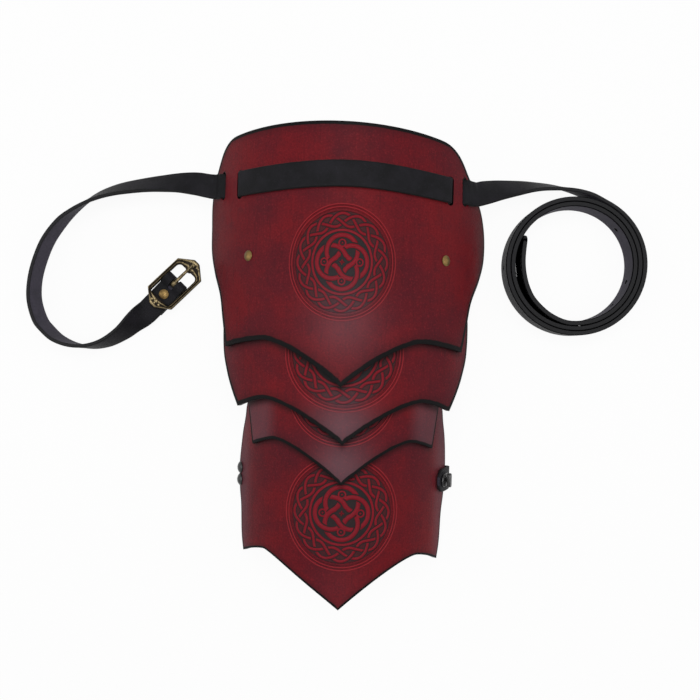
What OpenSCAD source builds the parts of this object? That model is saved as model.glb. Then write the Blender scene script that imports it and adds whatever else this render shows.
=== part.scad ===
// Leather pauldron: a shoulder cap with three lames hung under it, a neck strap and an arm strap.
// It lies face up on a table. +X is the wearer's side to side, +Y points to the neck, +Z is up.
// The origin is the middle of the arm strap's underside, on the table.

/* [Plate leather] */
// Thickness of the plates
plate_t = 4; // [3:0.1:5]
// Gap between a plate and the one that it slides under
lap_gap = 0.5; // [0.3:0.1:1]

/* [Cap] */
// Outer radius that the cap is bent to
cap_r = 141; // [136:1:150]
// Half width at its widest, measured along the leather
cap_half_w = 163.2; // [150:0.1:166]
// Half width at the neck end, before its corners are rounded
cap_neck_w = 138; // [130:1:145]
// Half width of the waist above the lower edge
cap_waist_w = 127; // [122:1:135]
// Half width at the lower corners
cap_corner_w = 119.5; // [114:0.5:124]
// Place of the neck edge along Y
cap_top_y = 307; // [302:1:314]
// Place of the lower point along Y
cap_point_y = 86.5; // [80:0.5:92]
// How far the scallop's peak lies above the lower point
cap_rise = 40.5; // [34:0.5:46]
// Half distance between the two scallop peaks
cap_peak_w = 71; // [64:1:78]
// How far the lower corner drops below the peak
cap_drop = 8.5; // [5:0.5:12]
// Radius of the neck corners
cap_corner_r = 34; // [20:1:40]

/* [Lame 2] */
// Half width under the cap
lame_2_top_w = 131; // [126:1:134]
// Half width at the lower corners
lame_2_corner_w = 103.7; // [99:0.1:108]
// Place of the upper edge along Y
lame_2_top_y = 172; // [168:1:173]
// Place of the lower point along Y
lame_2_point_y = 38; // [32:0.5:44]
// How far the scallop's peak lies above the lower point
lame_2_rise = 38; // [32:0.5:44]
// Half distance between the two scallop peaks
lame_2_peak_w = 71; // [64:1:78]
// How far the lower corner drops below the peak
lame_2_drop = 9.8; // [6:0.1:13]

/* [Lame 3] */
// Outer radius that lame 3 is bent to
lame_3_r = 107.5; // [105:0.5:112]
// Half width under lame 2
lame_3_top_w = 101; // [97:1:105]
// Half width at the lower corners
lame_3_corner_w = 90.5; // [86:0.5:95]
// Place of the upper edge along Y
lame_3_top_y = 142; // [139:1:143]
// Place of the lower point along Y
lame_3_point_y = 3.5; // [-2:0.5:9]
// How far the scallop's peak lies above the lower point
lame_3_rise = 37; // [31:0.5:43]
// Half distance between the two scallop peaks
lame_3_peak_w = 62.5; // [56:0.5:69]
// How far the lower corner drops below the peak
lame_3_drop = 8.3; // [5:0.1:12]

/* [Lame 4] */
// Half width where the arm strap is fixed, its widest place
lame_4_half_w = 125.5; // [123:0.5:127]
// Half width near the upper edge
lame_4_top_w = 112; // [106:1:116]
// Half width of the waist above the lower edge
lame_4_waist_w = 112; // [107:1:117]
// Half width at the lower corners
lame_4_corner_w = 106.9; // [102:0.1:111]
// Place of the upper edge along Y
lame_4_top_y = 79; // [76:1:80]
// Place of the lower point along Y
lame_4_point_y = -103; // [-109:1:-97]
// How far the scallop's peak lies above the lower point
lame_4_rise = 43.8; // [38:0.1:50]
// Half distance between the two scallop peaks
lame_4_peak_w = 73; // [66:1:80]
// How far the lower corner drops below the peak
lame_4_drop = 9; // [5:0.5:13]

/* [Hinge straps] */
// Width of the two straps that carry the lames inside
hinge_w = 20; // [16:1:22]
// Thickness of these straps
hinge_t = 2.5; // [2:0.1:3]
// Radius of a rivet's head
rivet_head_r = 4.6; // [4:0.1:5]
// Height of a rivet's head
rivet_head_h = 1.9; // [1.5:0.1:2.5]
// Radius of a rivet's shank
rivet_r = 1.5; // [1.2:0.1:1.8]
// Radius of the small cap on a rivet's inner end
rivet_tail_r = 4; // [3.5:0.1:4.5]

/* [Neck strap] */
// Width of the neck strap
neck_w = 22; // [20:0.5:24]
// Thickness of the neck strap
neck_t = 3.3; // [2.6:0.1:3.6]
// Place of the strap along Y at the crown line
neck_y = 263; // [260:0.5:266]
// Distance of the inner slit from the crown line, along the leather, on the buckle's side
slit_in_left = 105.8; // [103:0.1:108]
// Distance of the outer slit on the buckle's side
slit_out_left = 133; // [131:0.1:134]
// Distance of the inner slit on the tail's side
slit_in_right = 96; // [94:0.1:98]
// Distance of the outer slit on the tail's side
slit_out_right = 116; // [114:0.1:118]
// Width of a slit
slit_w = 7.4; // [7:0.1:8]
// Length that a slit has more than the strap is wide
slit_spare = 3; // [2:0.5:5]

/* [Coil] */
// Centre of the coiled tail along X
coil_x = 209.8; // [208:0.1:212]
// Centre of the coiled tail along Y
coil_y = 201.3; // [200:0.1:203]
// Radius of the outermost turn, at the middle of the leather
coil_r = 64.8; // [64:0.1:65.5]
// Distance from turn to turn
coil_pitch = 4.5; // [4.3:0.05:4.7]
// Radius of the holes near the free end
hole_r = 2; // [1.5:0.1:2.5]

/* [Neck buckle] */
// Length of the frame
buckle_l = 58.6; // [56:0.2:59]
// Width of the frame
buckle_w = 30.8; // [30.6:0.1:34]
// Width of the frame's side rails
buckle_rail = 3.9; // [3.5:0.1:4]
// Width of the carved end that the tongue rests on
buckle_far_end = 11.8; // [10:0.2:13]
// Width of the carved end over the strap
buckle_near_end = 9.5; // [8:0.1:11]
// Thickness of the frame
buckle_t = 3.6; // [3:0.1:3.8]
// Radius of the centre bar
bar_r = 2; // [1.9:0.1:2.2]
// Radius of the tongue
tongue_r = 1.3; // [1.1:0.1:1.5]
// Distance of the rivet behind the bar
chape_rivet_x = 14; // [13:0.5:16]
// Length of the folded end under the strap
chape_l = 31; // [28:1:33]

/* [Arm strap] */
// Width of the arm strap
arm_w = 21; // [20:0.5:24]
// Thickness of the arm strap
arm_t = 2.6; // [2:0.1:3]
// Gap between the arm strap on the table and the edge of lame 4
arm_edge_gap = 1.1; // [0.8:0.1:2]
// Distance of the domed rivets from the edge of lame 4, along the leather
dome_edge = 6.9; // [6.5:0.1:8.5]
// Distance between the two domed rivets
dome_pitch = 11.2; // [11:0.1:12]
// Radius of a domed rivet's head
dome_r = 5.4; // [5:0.1:5.4]
// Height of a domed rivet's head
dome_h = 3.3; // [2.5:0.1:4]

/* [Turn lock] */
// Distance of the lock from the edge of lame 4, along the leather
lock_edge = 12.2; // [11.5:0.1:14.5]
// Length of the lock's base and eyelet, along the strap
lock_l = 19; // [18.6:0.1:20]
// Width of the lock's base and eyelet
lock_w = 12; // [11:0.5:14]
// Thickness of the lock's base
lock_base_t = 1; // [0.8:0.1:1.4]
// Thickness of the eyelet
eyelet_t = 1.2; // [1:0.1:1.6]
// Length of the turning bar
knob_l = 13; // [12:0.1:13.2]
// Width of the turning bar
knob_w = 4.4; // [4:0.1:4.6]
// Thickness of the turning bar
knob_t = 3.4; // [2.4:0.1:3.6]

/* [Hidden] */

// Where the fastenings of the arm strap sit, from the crown line
dome_s = lame_4_half_w - dome_edge;
lock_s = lame_4_half_w - lock_edge;

// Clearances: between leather that lies on leather, between metal and leather, of a pin in its eye
seat_gap = 0.3;
metal_gap = 0.1;
pin_gap = 0.06;
flex_gap = 0.3;

RED = [0.42, 0.09, 0.11];
BLACK = [0.11, 0.11, 0.12];
BRASS = [0.45, 0.34, 0.17];
DARK_METAL = [0.13, 0.13, 0.13];

// Bend radii and bend axes of the plates, stacked up from the lowest lame, whose edge clears the arm strap
step = plate_t + lap_gap;
lame_2_r = cap_r - step;
lame_4_r = lame_3_r - step;
lame_4_a = deg(lame_4_half_w, lame_4_r);
lame_4_z = arm_t + arm_edge_gap - (lame_4_r - plate_t) * cos(lame_4_a);
lame_3_z = lame_4_z;
cap_z = lame_4_z + lame_4_r + 3 * step - cap_r;
lame_2_z = cap_z;

// Shape of a lower edge: how fast it leaves the point, and how fast it drops past the peak
hem_power = 1.57;
corner_power = 1.5;
lame_corner_r = 22;
lame_4_corner_r = 14;
top_bow = 2.5;

function deg(s, r) = s / r * 180 / PI;

// A point at arc length s from the crown line, at radius r from the bend axis at height z
function on_arc(s, bend_r, r, z) = [r * sin(deg(s, bend_r)), z + r * cos(deg(s, bend_r))];

// Smooth curve through a table of [position, value], with the slopes of its neighbours
function slope(t, i) = let (a = max(i - 1, 0), b = min(i + 1, len(t) - 1))
    (t[b][1] - t[a][1]) / (t[b][0] - t[a][0]);
function cell(t, x, i = 0) = (i >= len(t) - 2 || x <= t[i + 1][0]) ? i : cell(t, x, i + 1);
function curve(t, x) = let (
    i = cell(t, x),
    w = t[i + 1][0] - t[i][0],
    u = (x - t[i][0]) / w
) t[i][1] * (1 + 2 * u) * (1 - u) * (1 - u) + slope(t, i) * w * u * (1 - u) * (1 - u)
    + t[i + 1][1] * u * u * (3 - 2 * u) + slope(t, i + 1) * w * u * u * (u - 1);

// Lower edge: a point in the middle, a scallop's peak on each side and a drop to the corner
function hem(s, point_y, rise, peak_w, drop, corner_w) = let (a = abs(s))
    a <= peak_w ? point_y + rise * (1 - pow(1 - a / peak_w, hem_power))
        : point_y + rise - drop * pow((a - peak_w) / (corner_w - peak_w), corner_power);

// A closed mesh between two grids of points with the same rows and columns
module shell_mesh(outer, inner) {
    rows = len(outer);
    cols = len(outer[0]);
    count = rows * cols;
    points = concat([for (row = outer) each row], [for (row = inner) each row]);
    sheet = [for (i = [0:rows - 2], j = [0:cols - 2]) let (a = i * cols + j)
        each [[a, a + 1, a + cols + 1], [a, a + cols + 1, a + cols]]];
    back = [for (f = sheet) [f[0] + count, f[2] + count, f[1] + count]];
    rim = concat(
        [for (j = [0:cols - 2]) j],
        [for (i = [0:rows - 2]) i * cols + cols - 1],
        [for (j = [cols - 1:-1:1]) (rows - 1) * cols + j],
        [for (i = [rows - 1:-1:1]) i * cols]
    );
    wall = [for (k = [0:len(rim) - 1]) let (a = rim[k], b = rim[(k + 1) % len(rim)])
        each [[a, a + count, b + count], [a, b + count, b]]];
    polyhedron(points, concat(sheet, back, wall), convexity = 6);
}

// A plate cut flat to its outline and bent round an axis along Y
// drift moves its outline sideways, where the leather was cut off its crown line
module bent_plate(bend_r, axis_z, top_y, point_y, rise, peak_w, drop, sides, round_r, cols, rows,
        drift = [[0, 0], [1, 0]]) {
    corner_w = sides[len(sides) - 1][1];
    corner_y = hem(corner_w, point_y, rise, peak_w, drop, corner_w);
    bends = 6;
    places = concat(
        [for (i = [0:bends]) round_r * (1 - cos(90 * i / bends))],
        [for (i = [1:rows]) round_r + (top_y - corner_y - round_r) * i / rows]
    );
    function half_w(d) = curve(sides, d / (top_y - corner_y))
        - (d < round_r ? round_r - sqrt(round_r * round_r - pow(round_r - d, 2)) : 0);
    function top(s) = top_y - top_bow * pow(s / peak_w, 2);
    function low(s) = hem(s, point_y, rise, peak_w, drop, corner_w);
    function grid(r) = [for (d = places) let (
        w = half_w(d),
        full = top(w) - low(w),
        mix = min(1, max(0, (top_y - d - top_bow * pow(w / peak_w, 2) * (1 - d / (top_y - corner_y))
            - low(w)) / full))
    ) [for (j = [0:cols]) let (
        s = w * (2 * j / cols - 1),
        p = on_arc(s + curve(drift, d / (top_y - corner_y)), bend_r, r, axis_z)
    ) [p[0], top(s) * mix + low(s) * (1 - mix), p[1]]]];
    shell_mesh(grid(bend_r), grid(bend_r - plate_t));
}

// Puts its children on a plate: their XY plane becomes the tangent plane at arc length s, +Z outwards
module on_plate(s, y, bend_r, axis_z, r) {
    translate([0, y, axis_z]) rotate([0, deg(s, bend_r), 0]) translate([0, 0, r]) children();
}

module both_sides() {
    children();
    mirror([1, 0, 0]) children();
}

// Inner straps: rows of [y, x, inner radius, axis height], each row lying on the inside of a bent plate
module hinge_strap(rows) {
    cols = 4;
    function line(r, depth) = [for (j = [0:cols]) let (
        x = r[1] + hinge_w * (j / cols - 0.5),
        flat_r = r[2] - seat_gap,
        a = asin(x / flat_r)
    ) [(flat_r - depth) * sin(a), r[0], r[3] + (flat_r - depth) * cos(a)]];
    shell_mesh([for (r = rows) line(r, 0)], [for (r = rows) line(r, hinge_t)]);
}

// Rivet stations: arc length, y, and the plate that each rivet holds
cap_rivet = [92, 197];
lame_2_rivet = [82, 160];
lame_3_rivet = [74, 131];
lame_4_rivet = [66, 66];
rivet_margin = 10;
flex_2_y = 175;
flex_3_y = 145;
flex_4_y = 82;

cap_in_r = cap_r - plate_t;
lame_2_in_r = lame_2_r - plate_t;
lame_3_in_r = lame_3_r - plate_t;
lame_4_in_r = lame_4_r - plate_t;

cap_rivet_x = on_arc(cap_rivet[0], cap_r, cap_in_r, cap_z)[0];
lame_2_rivet_x = on_arc(lame_2_rivet[0], lame_2_r, lame_2_in_r, lame_2_z)[0];
lame_3_rivet_x = on_arc(lame_3_rivet[0], lame_3_r, lame_3_in_r, lame_3_z)[0];
lame_4_rivet_x = on_arc(lame_4_rivet[0], lame_4_r, lame_4_in_r, lame_4_z)[0];

// Where the strap's middle lies at a place along Y, on straight lines from rivet to rivet
strap_line = [
    [lame_4_rivet[1], lame_4_rivet_x], [lame_3_rivet[1], lame_3_rivet_x],
    [lame_2_rivet[1], lame_2_rivet_x], [cap_rivet[1], cap_rivet_x]
];
function strap_x(y) = y < strap_line[0][0] ? strap_line[0][1]
    : y > strap_line[3][0] ? strap_line[3][1] : lookup(y, strap_line);
function strap_row(y, in_r, z) = [y, strap_x(y), in_r, z];

module hinge_straps(rows, s, bend_r, axis_z, in_r, y) {
    both_sides() difference() {
        hinge_strap(rows);
        on_plate(s, y, bend_r, axis_z, in_r - seat_gap - hinge_t)
            cylinder(r = rivet_r + pin_gap, h = 3 * hinge_t, center = true, $fn = 32);
    }
}

// Holes through a plate for the rivets of its hinge straps, sunk where another plate lies close above
module rivet_holes(s, y, bend_r, axis_z, sunk) {
    both_sides() on_plate(s, y, bend_r, axis_z, bend_r) {
        cylinder(r = rivet_r + pin_gap, h = 3 * plate_t, center = true, $fn = 32);
        if (sunk) translate([0, 0, -sunk_depth])
            cylinder(r = rivet_head_r + metal_gap, h = plate_t, $fn = 48);
    }
}
sunk_depth = 1.4;
sunk_head_t = 1.1;

// Rivets: a head on the outside, a shank through the plate and the strap, a cap on the inside
module rivets(s, y, bend_r, axis_z, sunk) {
    base = sunk ? -sunk_depth + metal_gap : metal_gap;
    tail = -plate_t - 2 * seat_gap - hinge_t;
    both_sides() on_plate(s, y, bend_r, axis_z, bend_r) {
        if (sunk) translate([0, 0, base]) cylinder(r = rivet_head_r, h = sunk_head_t, $fn = 48);
        else translate([0, 0, base]) dome(rivet_head_r, rivet_head_h);
        translate([0, 0, tail]) cylinder(r = rivet_r, h = base - tail + metal_gap, $fn = 32);
        translate([0, 0, tail]) mirror([0, 0, 1]) dome(rivet_tail_r, rivet_head_h * 0.7);
    }
}

// A shallow dome on a short straight rim
module dome(r, h) {
    rim = h * 0.3;
    cap_h = h - rim;
    ball_r = (r * r + cap_h * cap_h) / (2 * cap_h);
    cylinder(r = r, h = rim, $fn = 48);
    intersection() {
        translate([0, 0, rim + cap_h - ball_r]) sphere(r = ball_r, $fn = 64);
        translate([0, 0, rim / 2]) cylinder(r = r, h = h, $fn = 48);
    }
}

// Slits for the neck strap, round at both ends: each place as arc length and y, from left to right
slit_l = neck_w + slit_spare;
slits = [
    [-slit_out_left, neck_y + 0.5], [-slit_in_left, neck_y - 2.5],
    [slit_in_right, neck_y - 5], [slit_out_right, neck_y - 2.5]
];
module slit() {
    linear_extrude(height = 5 * plate_t, center = true) {
        square([slit_w, slit_l - slit_w], center = true);
        for (side = [-1, 1]) translate([0, side * (slit_l - slit_w) / 2]) circle(r = slit_w / 2, $fn = 48);
    }
}

cap_sides = [
    [0, cap_neck_w - 6], [0.1, cap_neck_w - 4], [0.17, cap_neck_w + 6], [0.27, cap_half_w - 5],
    [0.38, cap_half_w], [0.5, cap_half_w - 1.5], [0.62, cap_half_w - 14], [0.74, cap_waist_w + 7],
    [0.86, cap_waist_w], [1, cap_corner_w]
];
cap_drift = [[0, -12], [0.17, -9.5], [0.27, -5], [0.38, 0], [0.5, 0], [0.7, -1.5], [1, -2.5]];
module cap() {
    color(RED) difference() {
        bent_plate(cap_r, cap_z, cap_top_y, cap_point_y, cap_rise, cap_peak_w, cap_drop,
            cap_sides, cap_corner_r, 40, 14, cap_drift);
        rivet_holes(cap_rivet[0], cap_rivet[1], cap_r, cap_z, false);
        for (place = slits) on_plate(place[0], place[1], cap_r, cap_z, cap_r) slit();
    }
}
module cap_hinge_straps() {
    color(BLACK) hinge_straps([
        strap_row(cap_rivet[1] + rivet_margin, cap_in_r, cap_z),
        strap_row(cap_rivet[1], cap_in_r, cap_z),
        strap_row(cap_rivet[1] - rivet_margin, cap_in_r, cap_z),
        strap_row(flex_2_y + 5, (cap_in_r + lame_2_in_r) / 2, cap_z),
        strap_row(flex_2_y + flex_gap, lame_2_in_r, lame_2_z)
    ], cap_rivet[0], cap_r, cap_z, cap_in_r, cap_rivet[1]);
}
module cap_rivets() {
    color(BRASS) rivets(cap_rivet[0], cap_rivet[1], cap_r, cap_z, false);
}

lame_2_sides = [
    [0, lame_2_top_w - 4], [0.2, lame_2_top_w], [0.5, lame_2_top_w - 1.5], [0.7, lame_2_top_w - 9],
    [0.85, lame_2_corner_w + 10], [1, lame_2_corner_w]
];
module lame_2() {
    color(RED) difference() {
        bent_plate(lame_2_r, lame_2_z, lame_2_top_y, lame_2_point_y, lame_2_rise, lame_2_peak_w,
            lame_2_drop, lame_2_sides, lame_corner_r, 32, 8);
        rivet_holes(lame_2_rivet[0], lame_2_rivet[1], lame_2_r, lame_2_z, true);
    }
}
module lame_2_hinge_straps() {
    color(BLACK) hinge_straps([
        strap_row(flex_2_y - flex_gap, lame_2_in_r, lame_2_z),
        strap_row(lame_2_rivet[1], lame_2_in_r, lame_2_z),
        strap_row(lame_2_rivet[1] - 6, lame_2_in_r, lame_2_z),
        strap_row(flex_3_y + flex_gap, lame_3_in_r, lame_3_z)
    ], lame_2_rivet[0], lame_2_r, lame_2_z, lame_2_in_r, lame_2_rivet[1]);
}
module lame_2_rivets() {
    color(BRASS) rivets(lame_2_rivet[0], lame_2_rivet[1], lame_2_r, lame_2_z, true);
}

lame_3_sides = [
    [0, lame_3_top_w - 4], [0.25, lame_3_top_w], [0.6, lame_3_top_w - 1], [0.8, lame_3_corner_w + 5],
    [1, lame_3_corner_w]
];
module lame_3() {
    color(RED) difference() {
        bent_plate(lame_3_r, lame_3_z, lame_3_top_y, lame_3_point_y, lame_3_rise, lame_3_peak_w,
            lame_3_drop, lame_3_sides, lame_corner_r, 32, 8);
        rivet_holes(lame_3_rivet[0], lame_3_rivet[1], lame_3_r, lame_3_z, false);
    }
}
module lame_3_hinge_straps() {
    color(BLACK) hinge_straps([
        strap_row(flex_3_y - flex_gap, lame_3_in_r, lame_3_z),
        strap_row(lame_3_rivet[1], lame_3_in_r, lame_3_z),
        strap_row((lame_3_rivet[1] + flex_4_y) / 2, lame_3_in_r, lame_3_z),
        strap_row(flex_4_y + 6, lame_3_in_r, lame_3_z),
        strap_row(flex_4_y + flex_gap, lame_4_in_r, lame_4_z)
    ], lame_3_rivet[0], lame_3_r, lame_3_z, lame_3_in_r, lame_3_rivet[1]);
}
module lame_3_rivets() {
    color(BRASS) rivets(lame_3_rivet[0], lame_3_rivet[1], lame_3_r, lame_3_z, false);
}

lame_4_sides = [
    [0, lame_4_top_w - 2], [0.12, lame_4_top_w], [0.24, lame_4_top_w + 7], [0.37, lame_4_half_w - 1.5],
    [0.46, lame_4_half_w], [0.6, lame_4_half_w - 3.5], [0.71, lame_4_waist_w + 4],
    [0.9, lame_4_waist_w], [1, lame_4_corner_w]
];
module lame_4() {
    color(RED) difference() {
        bent_plate(lame_4_r, lame_4_z, lame_4_top_y, lame_4_point_y, lame_4_rise, lame_4_peak_w,
            lame_4_drop, lame_4_sides, lame_4_corner_r, 36, 14);
        rivet_holes(lame_4_rivet[0], lame_4_rivet[1], lame_4_r, lame_4_z, true);
        for (side = [-1, 1]) on_plate(-dome_s, side * dome_pitch / 2, lame_4_r, lame_4_z, lame_4_r)
            cylinder(r = rivet_r + pin_gap, h = 3 * plate_t, center = true, $fn = 32);
        for (side = [-1, 1]) on_plate(lock_s + side * lock_pin_x, 0, lame_4_r, lame_4_z, lame_4_r)
            cylinder(r = lock_pin_r + pin_gap, h = 3 * plate_t, center = true, $fn = 24);
    }
}
module lame_4_hinge_straps() {
    color(BLACK) hinge_straps([
        strap_row(flex_4_y - flex_gap, lame_4_in_r, lame_4_z),
        strap_row(lame_4_rivet[1], lame_4_in_r, lame_4_z),
        strap_row(lame_4_rivet[1] - rivet_margin, lame_4_in_r, lame_4_z)
    ], lame_4_rivet[0], lame_4_r, lame_4_z, lame_4_in_r, lame_4_rivet[1]);
}
module lame_4_rivets() {
    color(BRASS) rivets(lame_4_rivet[0], lame_4_rivet[1], lame_4_r, lame_4_z, true);
}

// Strap routes in a plane: round a corner with an arc, and lay a band of leather along points
function unit(v) = v / norm(v);
function turned(v) = [-v[1], v[0]];
function cross_z(a, b) = a[0] * b[1] - a[1] * b[0];
function rounded(p, q, r, radius, steps = 5) = let (
    a = unit(p - q),
    b = unit(r - q),
    half = acos(a * b) / 2,
    reach = radius / tan(half),
    side = sign(cross_z(a, b)),
    middle = q + unit(a + b) * radius / sin(half),
    from = q + a * reach - middle,
    sweep = -side * (180 - 2 * half)
) [for (i = [0:steps]) let (t = sweep * i / steps)
    middle + [from[0] * cos(t) - from[1] * sin(t), from[0] * sin(t) + from[1] * cos(t)]];

module band(path, t) {
    last = len(path) - 1;
    function normal(i) = turned(unit(path[min(i + 1, last)] - path[max(i - 1, 0)]));
    polygon(concat(
        [for (i = [0:last]) path[i] + normal(i) * t / 2],
        [for (i = [last:-1:0]) path[i] - normal(i) * t / 2]
    ));
}

// Neck strap over the cap: out of the outer slit, under the bridge, out of the inner slit and across
neck_over_r = cap_r + seat_gap + neck_t / 2;
neck_under_r = cap_in_r - seat_gap - neck_t / 2;
slit_lean = 2;
slit_bend = 2.2;
exit_past = 7;
function cap_polar(s, r) = on_arc(s, cap_r, r, cap_z);
function half_crossing(in_s, out_s) = let (over_end = in_s - slit_lean) concat(
    [for (i = [0:12]) cap_polar(over_end * i / 12 * 0.97, neck_over_r)],
    rounded(cap_polar(over_end - 4, neck_over_r), cap_polar(over_end, neck_over_r),
        cap_polar(in_s + slit_lean, neck_under_r), slit_bend),
    rounded(cap_polar(over_end, neck_over_r), cap_polar(in_s + slit_lean, neck_under_r),
        cap_polar(in_s + slit_lean + 4, neck_under_r), slit_bend),
    rounded(cap_polar(out_s - slit_lean - 4, neck_under_r), cap_polar(out_s - slit_lean, neck_under_r),
        cap_polar(out_s + slit_lean, neck_over_r), slit_bend),
    rounded(cap_polar(out_s - slit_lean, neck_under_r), cap_polar(out_s + slit_lean, neck_over_r),
        cap_polar(out_s + slit_lean + 4, neck_over_r), slit_bend),
    [cap_polar(out_s + exit_past, neck_over_r)]
);
exit_left = cap_polar(slit_out_left + exit_past, neck_over_r);
exit_right = cap_polar(slit_out_right + exit_past, neck_over_r);
// The strap bows a little across the cap: its place along Y at the exits, the slits and the crown line
function slit_x(i) = cap_polar(slits[i][0], cap_r - plate_t / 2)[0];
neck_line = [
    [-exit_left[0], slits[0][1]], [slit_x(0), slits[0][1]], [slit_x(1), slits[1][1]], [0, neck_y],
    [slit_x(2), slits[2][1]], [slit_x(3), slits[3][1]], [exit_right[0], slits[3][1]]
];
module neck_strap_crossing() {
    left_half = half_crossing(slit_in_left, slit_out_left);
    path = concat(
        [for (i = [len(left_half) - 1:-1:1]) [-left_half[i][0], left_half[i][1]]],
        half_crossing(slit_in_right, slit_out_right)
    );
    last = len(path) - 1;
    function edge(i, a, b) = let (
        p = path[i] + turned(unit(path[min(i + 1, last)] - path[max(i - 1, 0)])) * b * neck_t / 2
    ) [p[0], curve(neck_line, path[i][0]) + a * neck_w / 2, p[1]];
    color(BLACK) shell_mesh(
        [for (i = [0:last]) [edge(i, 1, 1), edge(i, -1, 1)]],
        [for (i = [0:last]) [edge(i, 1, -1), edge(i, -1, -1)]]
    );
}

// Where the strap meets the buckle: the bar's place, and the stack of leather under and over it
buckle_x = -162;
buckle_y = 175.5;
chape_turn = 47;
chape_tail_t = 0.8;
fold_r = bar_r + seat_gap;
bar_z = chape_tail_t + neck_t + fold_r;
layer_gap = 0.1;
top_layer_z = chape_tail_t + 1.5 * neck_t + layer_gap;
chape_end_x = 36;
chape_joint = [buckle_x - chape_end_x * cos(chape_turn), buckle_y - chape_end_x * sin(chape_turn),
    top_layer_z, 0];

// Coiled tail: turns that shrink steadily, then a stiff end that springs away from the last turn
half_w = neck_w / 2;
edge_z = half_w + 0.1;
coil_start = 65;
coil_sweep = 917;
coil_steps = 100;

// Free runs of the neck strap: points of [x, y, z, roll], roll lifting the edge inside the turn
function exit_back(s) = 12 * [-cos(deg(s + exit_past, cap_r)), sin(deg(s + exit_past, cap_r))];
buckle_run_route = [
    [-exit_left[0], slits[0][1], exit_left[1], 0],
    [-124.5, 263.6, 20.2, 0], [-130, 264.4, 16.8, 3], [-142, 267.2, 12.8, 13], [-157, 268.5, 11.3, 28],
    [-173, 268, 11, 39], [-189, 266.6, 11, 49], [-208, 264, 11.1, 62],
    [-221, 261, 11.2, 72], [-233.5, 256.8, 11.2, 79],
    [-245, 250.5, 11.2, 85], [-257, 241.8, 11.2, 90], [-267.8, 231.5, 11.2, 93], [-279.5, 213, 11.2, 94],
    [-287, 194, 11.2, 94], [-291.3, 175, 11.2, 94], [-291.8, 156.5, 11.2, 94],
    [-287.5, 138, 11.2, 92], [-281, 128.5, edge_z, 90], [-270, 119.3, edge_z, 90],
    [-254.5, 114.3, 11.2, 84], [-238.5, 114, 11.1, 76], [-223, 118.6, 10.9, 68],
    [-208.5, 127.8, 10.2, 54], [-197.6, 138.6, 8.1, 30], chape_joint
];
tail_run_route = [
    [exit_right[0], slits[3][1], exit_right[1], 0],
    [115.5, 260.6, 31.8, -1], [123.5, 262.1, 24.9, -5], [138, 268.4, 15.4, -25], [157, 273.4, 11.7, -49],
    [174.7, 274.1, 11.1, -62], [190, 273.2, 11.1, -70], [201, 271.7, 11.1, -76],
    [213, 269.1, 11.1, -83], [225, 265.5, edge_z, -88],
    [coil_x + coil_r * cos(coil_start), coil_y + coil_r * sin(coil_start), edge_z, -90]
];

function point(p) = [p[0], p[1], p[2]];
// Cubic through four points of any length of list, at u between the middle two
function through(a, b, c, d, u) = b + 0.5 * u * (c - a + u * (2 * a - 5 * b + 4 * c - d
    + u * (3 * (b - c) + d - a)));
module ribbon(route, before, after, w, t, steps = 3) {
    all = concat([before], route, [after]);
    line = concat(
        [for (i = [1:len(all) - 3], k = [0:steps - 1])
            through(all[i - 1], all[i], all[i + 1], all[i + 2], k / steps)],
        [route[len(route) - 1]]
    );
    last = len(line) - 1;
    function along(i) = i == 0 ? unit(point(line[0]) - point(before))
        : i == last ? unit(point(after) - point(line[last])) : unit(point(line[i + 1]) - point(line[i - 1]));
    function side(i) = unit(cross([0, 0, 1], along(i)));
    function up(i) = cross(along(i), side(i));
    function across(i) = side(i) * cos(line[i][3]) + up(i) * sin(line[i][3]);
    function face(i) = up(i) * cos(line[i][3]) - side(i) * sin(line[i][3]);
    function edge(i, a, b) = point(line[i]) + across(i) * a * w / 2 + face(i) * b * t / 2;
    shell_mesh(
        [for (i = [0:last]) [edge(i, 1, 1), edge(i, -1, 1)]],
        [for (i = [0:last]) [edge(i, 1, -1), edge(i, -1, -1)]]
    );
}
module neck_strap_buckle_run() {
    first = buckle_run_route[0];
    back = exit_back(slit_out_left);
    color(BLACK) ribbon(buckle_run_route, first + [-back[0], 0, back[1], 0],
        chape_joint + [cos(chape_turn), sin(chape_turn), 0, 0] * 8, neck_w, neck_t);
}
module neck_strap_tail_run() {
    first = tail_run_route[0];
    last = tail_run_route[len(tail_run_route) - 1];
    back = exit_back(slit_out_right);
    color(BLACK) ribbon(tail_run_route, first + [back[0], 0, back[1], 0],
        last + [sin(coil_start), -cos(coil_start), 0, 0] * 8, neck_w, neck_t);
}

function coil_at(turn) = (coil_r - coil_pitch * turn / 360) * [cos(coil_start - turn), sin(coil_start - turn)];
coil_end = [[-41.8, -28.6], [-45.8, -16], [-47.7, -3], [-48, 10.5], [-47, 20.8], [-45.9, 26.7]];
coil_path = concat([for (i = [0:coil_steps]) coil_at(coil_sweep * i / coil_steps)], coil_end);
// Least gap between the turns, from each point of the path to the stretches a third of a turn or more away
function to_stretch(p, a, b) = let (u = min(1, max(0, (p - a) * (b - a) / ((b - a) * (b - a)))))
    norm(p - a - (b - a) * u);
coil_gap = min([for (i = [13:len(coil_path) - 1]) min([for (j = [0:i - 13])
    to_stretch(coil_path[i], coil_path[j], coil_path[j + 1])])]) - neck_t;
echo("Least gap between the coil's turns", coil_gap);
// Places of the holes, as the angle wound from the start of the coil
hole_turns = [242, 744, 800, 828, 856, 884];
module neck_strap_coil() {
    color(BLACK) translate([coil_x, coil_y, edge_z]) difference() {
        linear_extrude(height = neck_w, center = true) band(coil_path, neck_t);
        for (turn = hole_turns) translate(coil_at(turn)) rotate([0, 90, coil_start - turn])
            cylinder(r = hole_r, h = coil_pitch - 0.1, center = true, $fn = 32);
        translate([coil_end[5][0], coil_end[5][1], 0]) strap_tip();
    }
}
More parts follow.
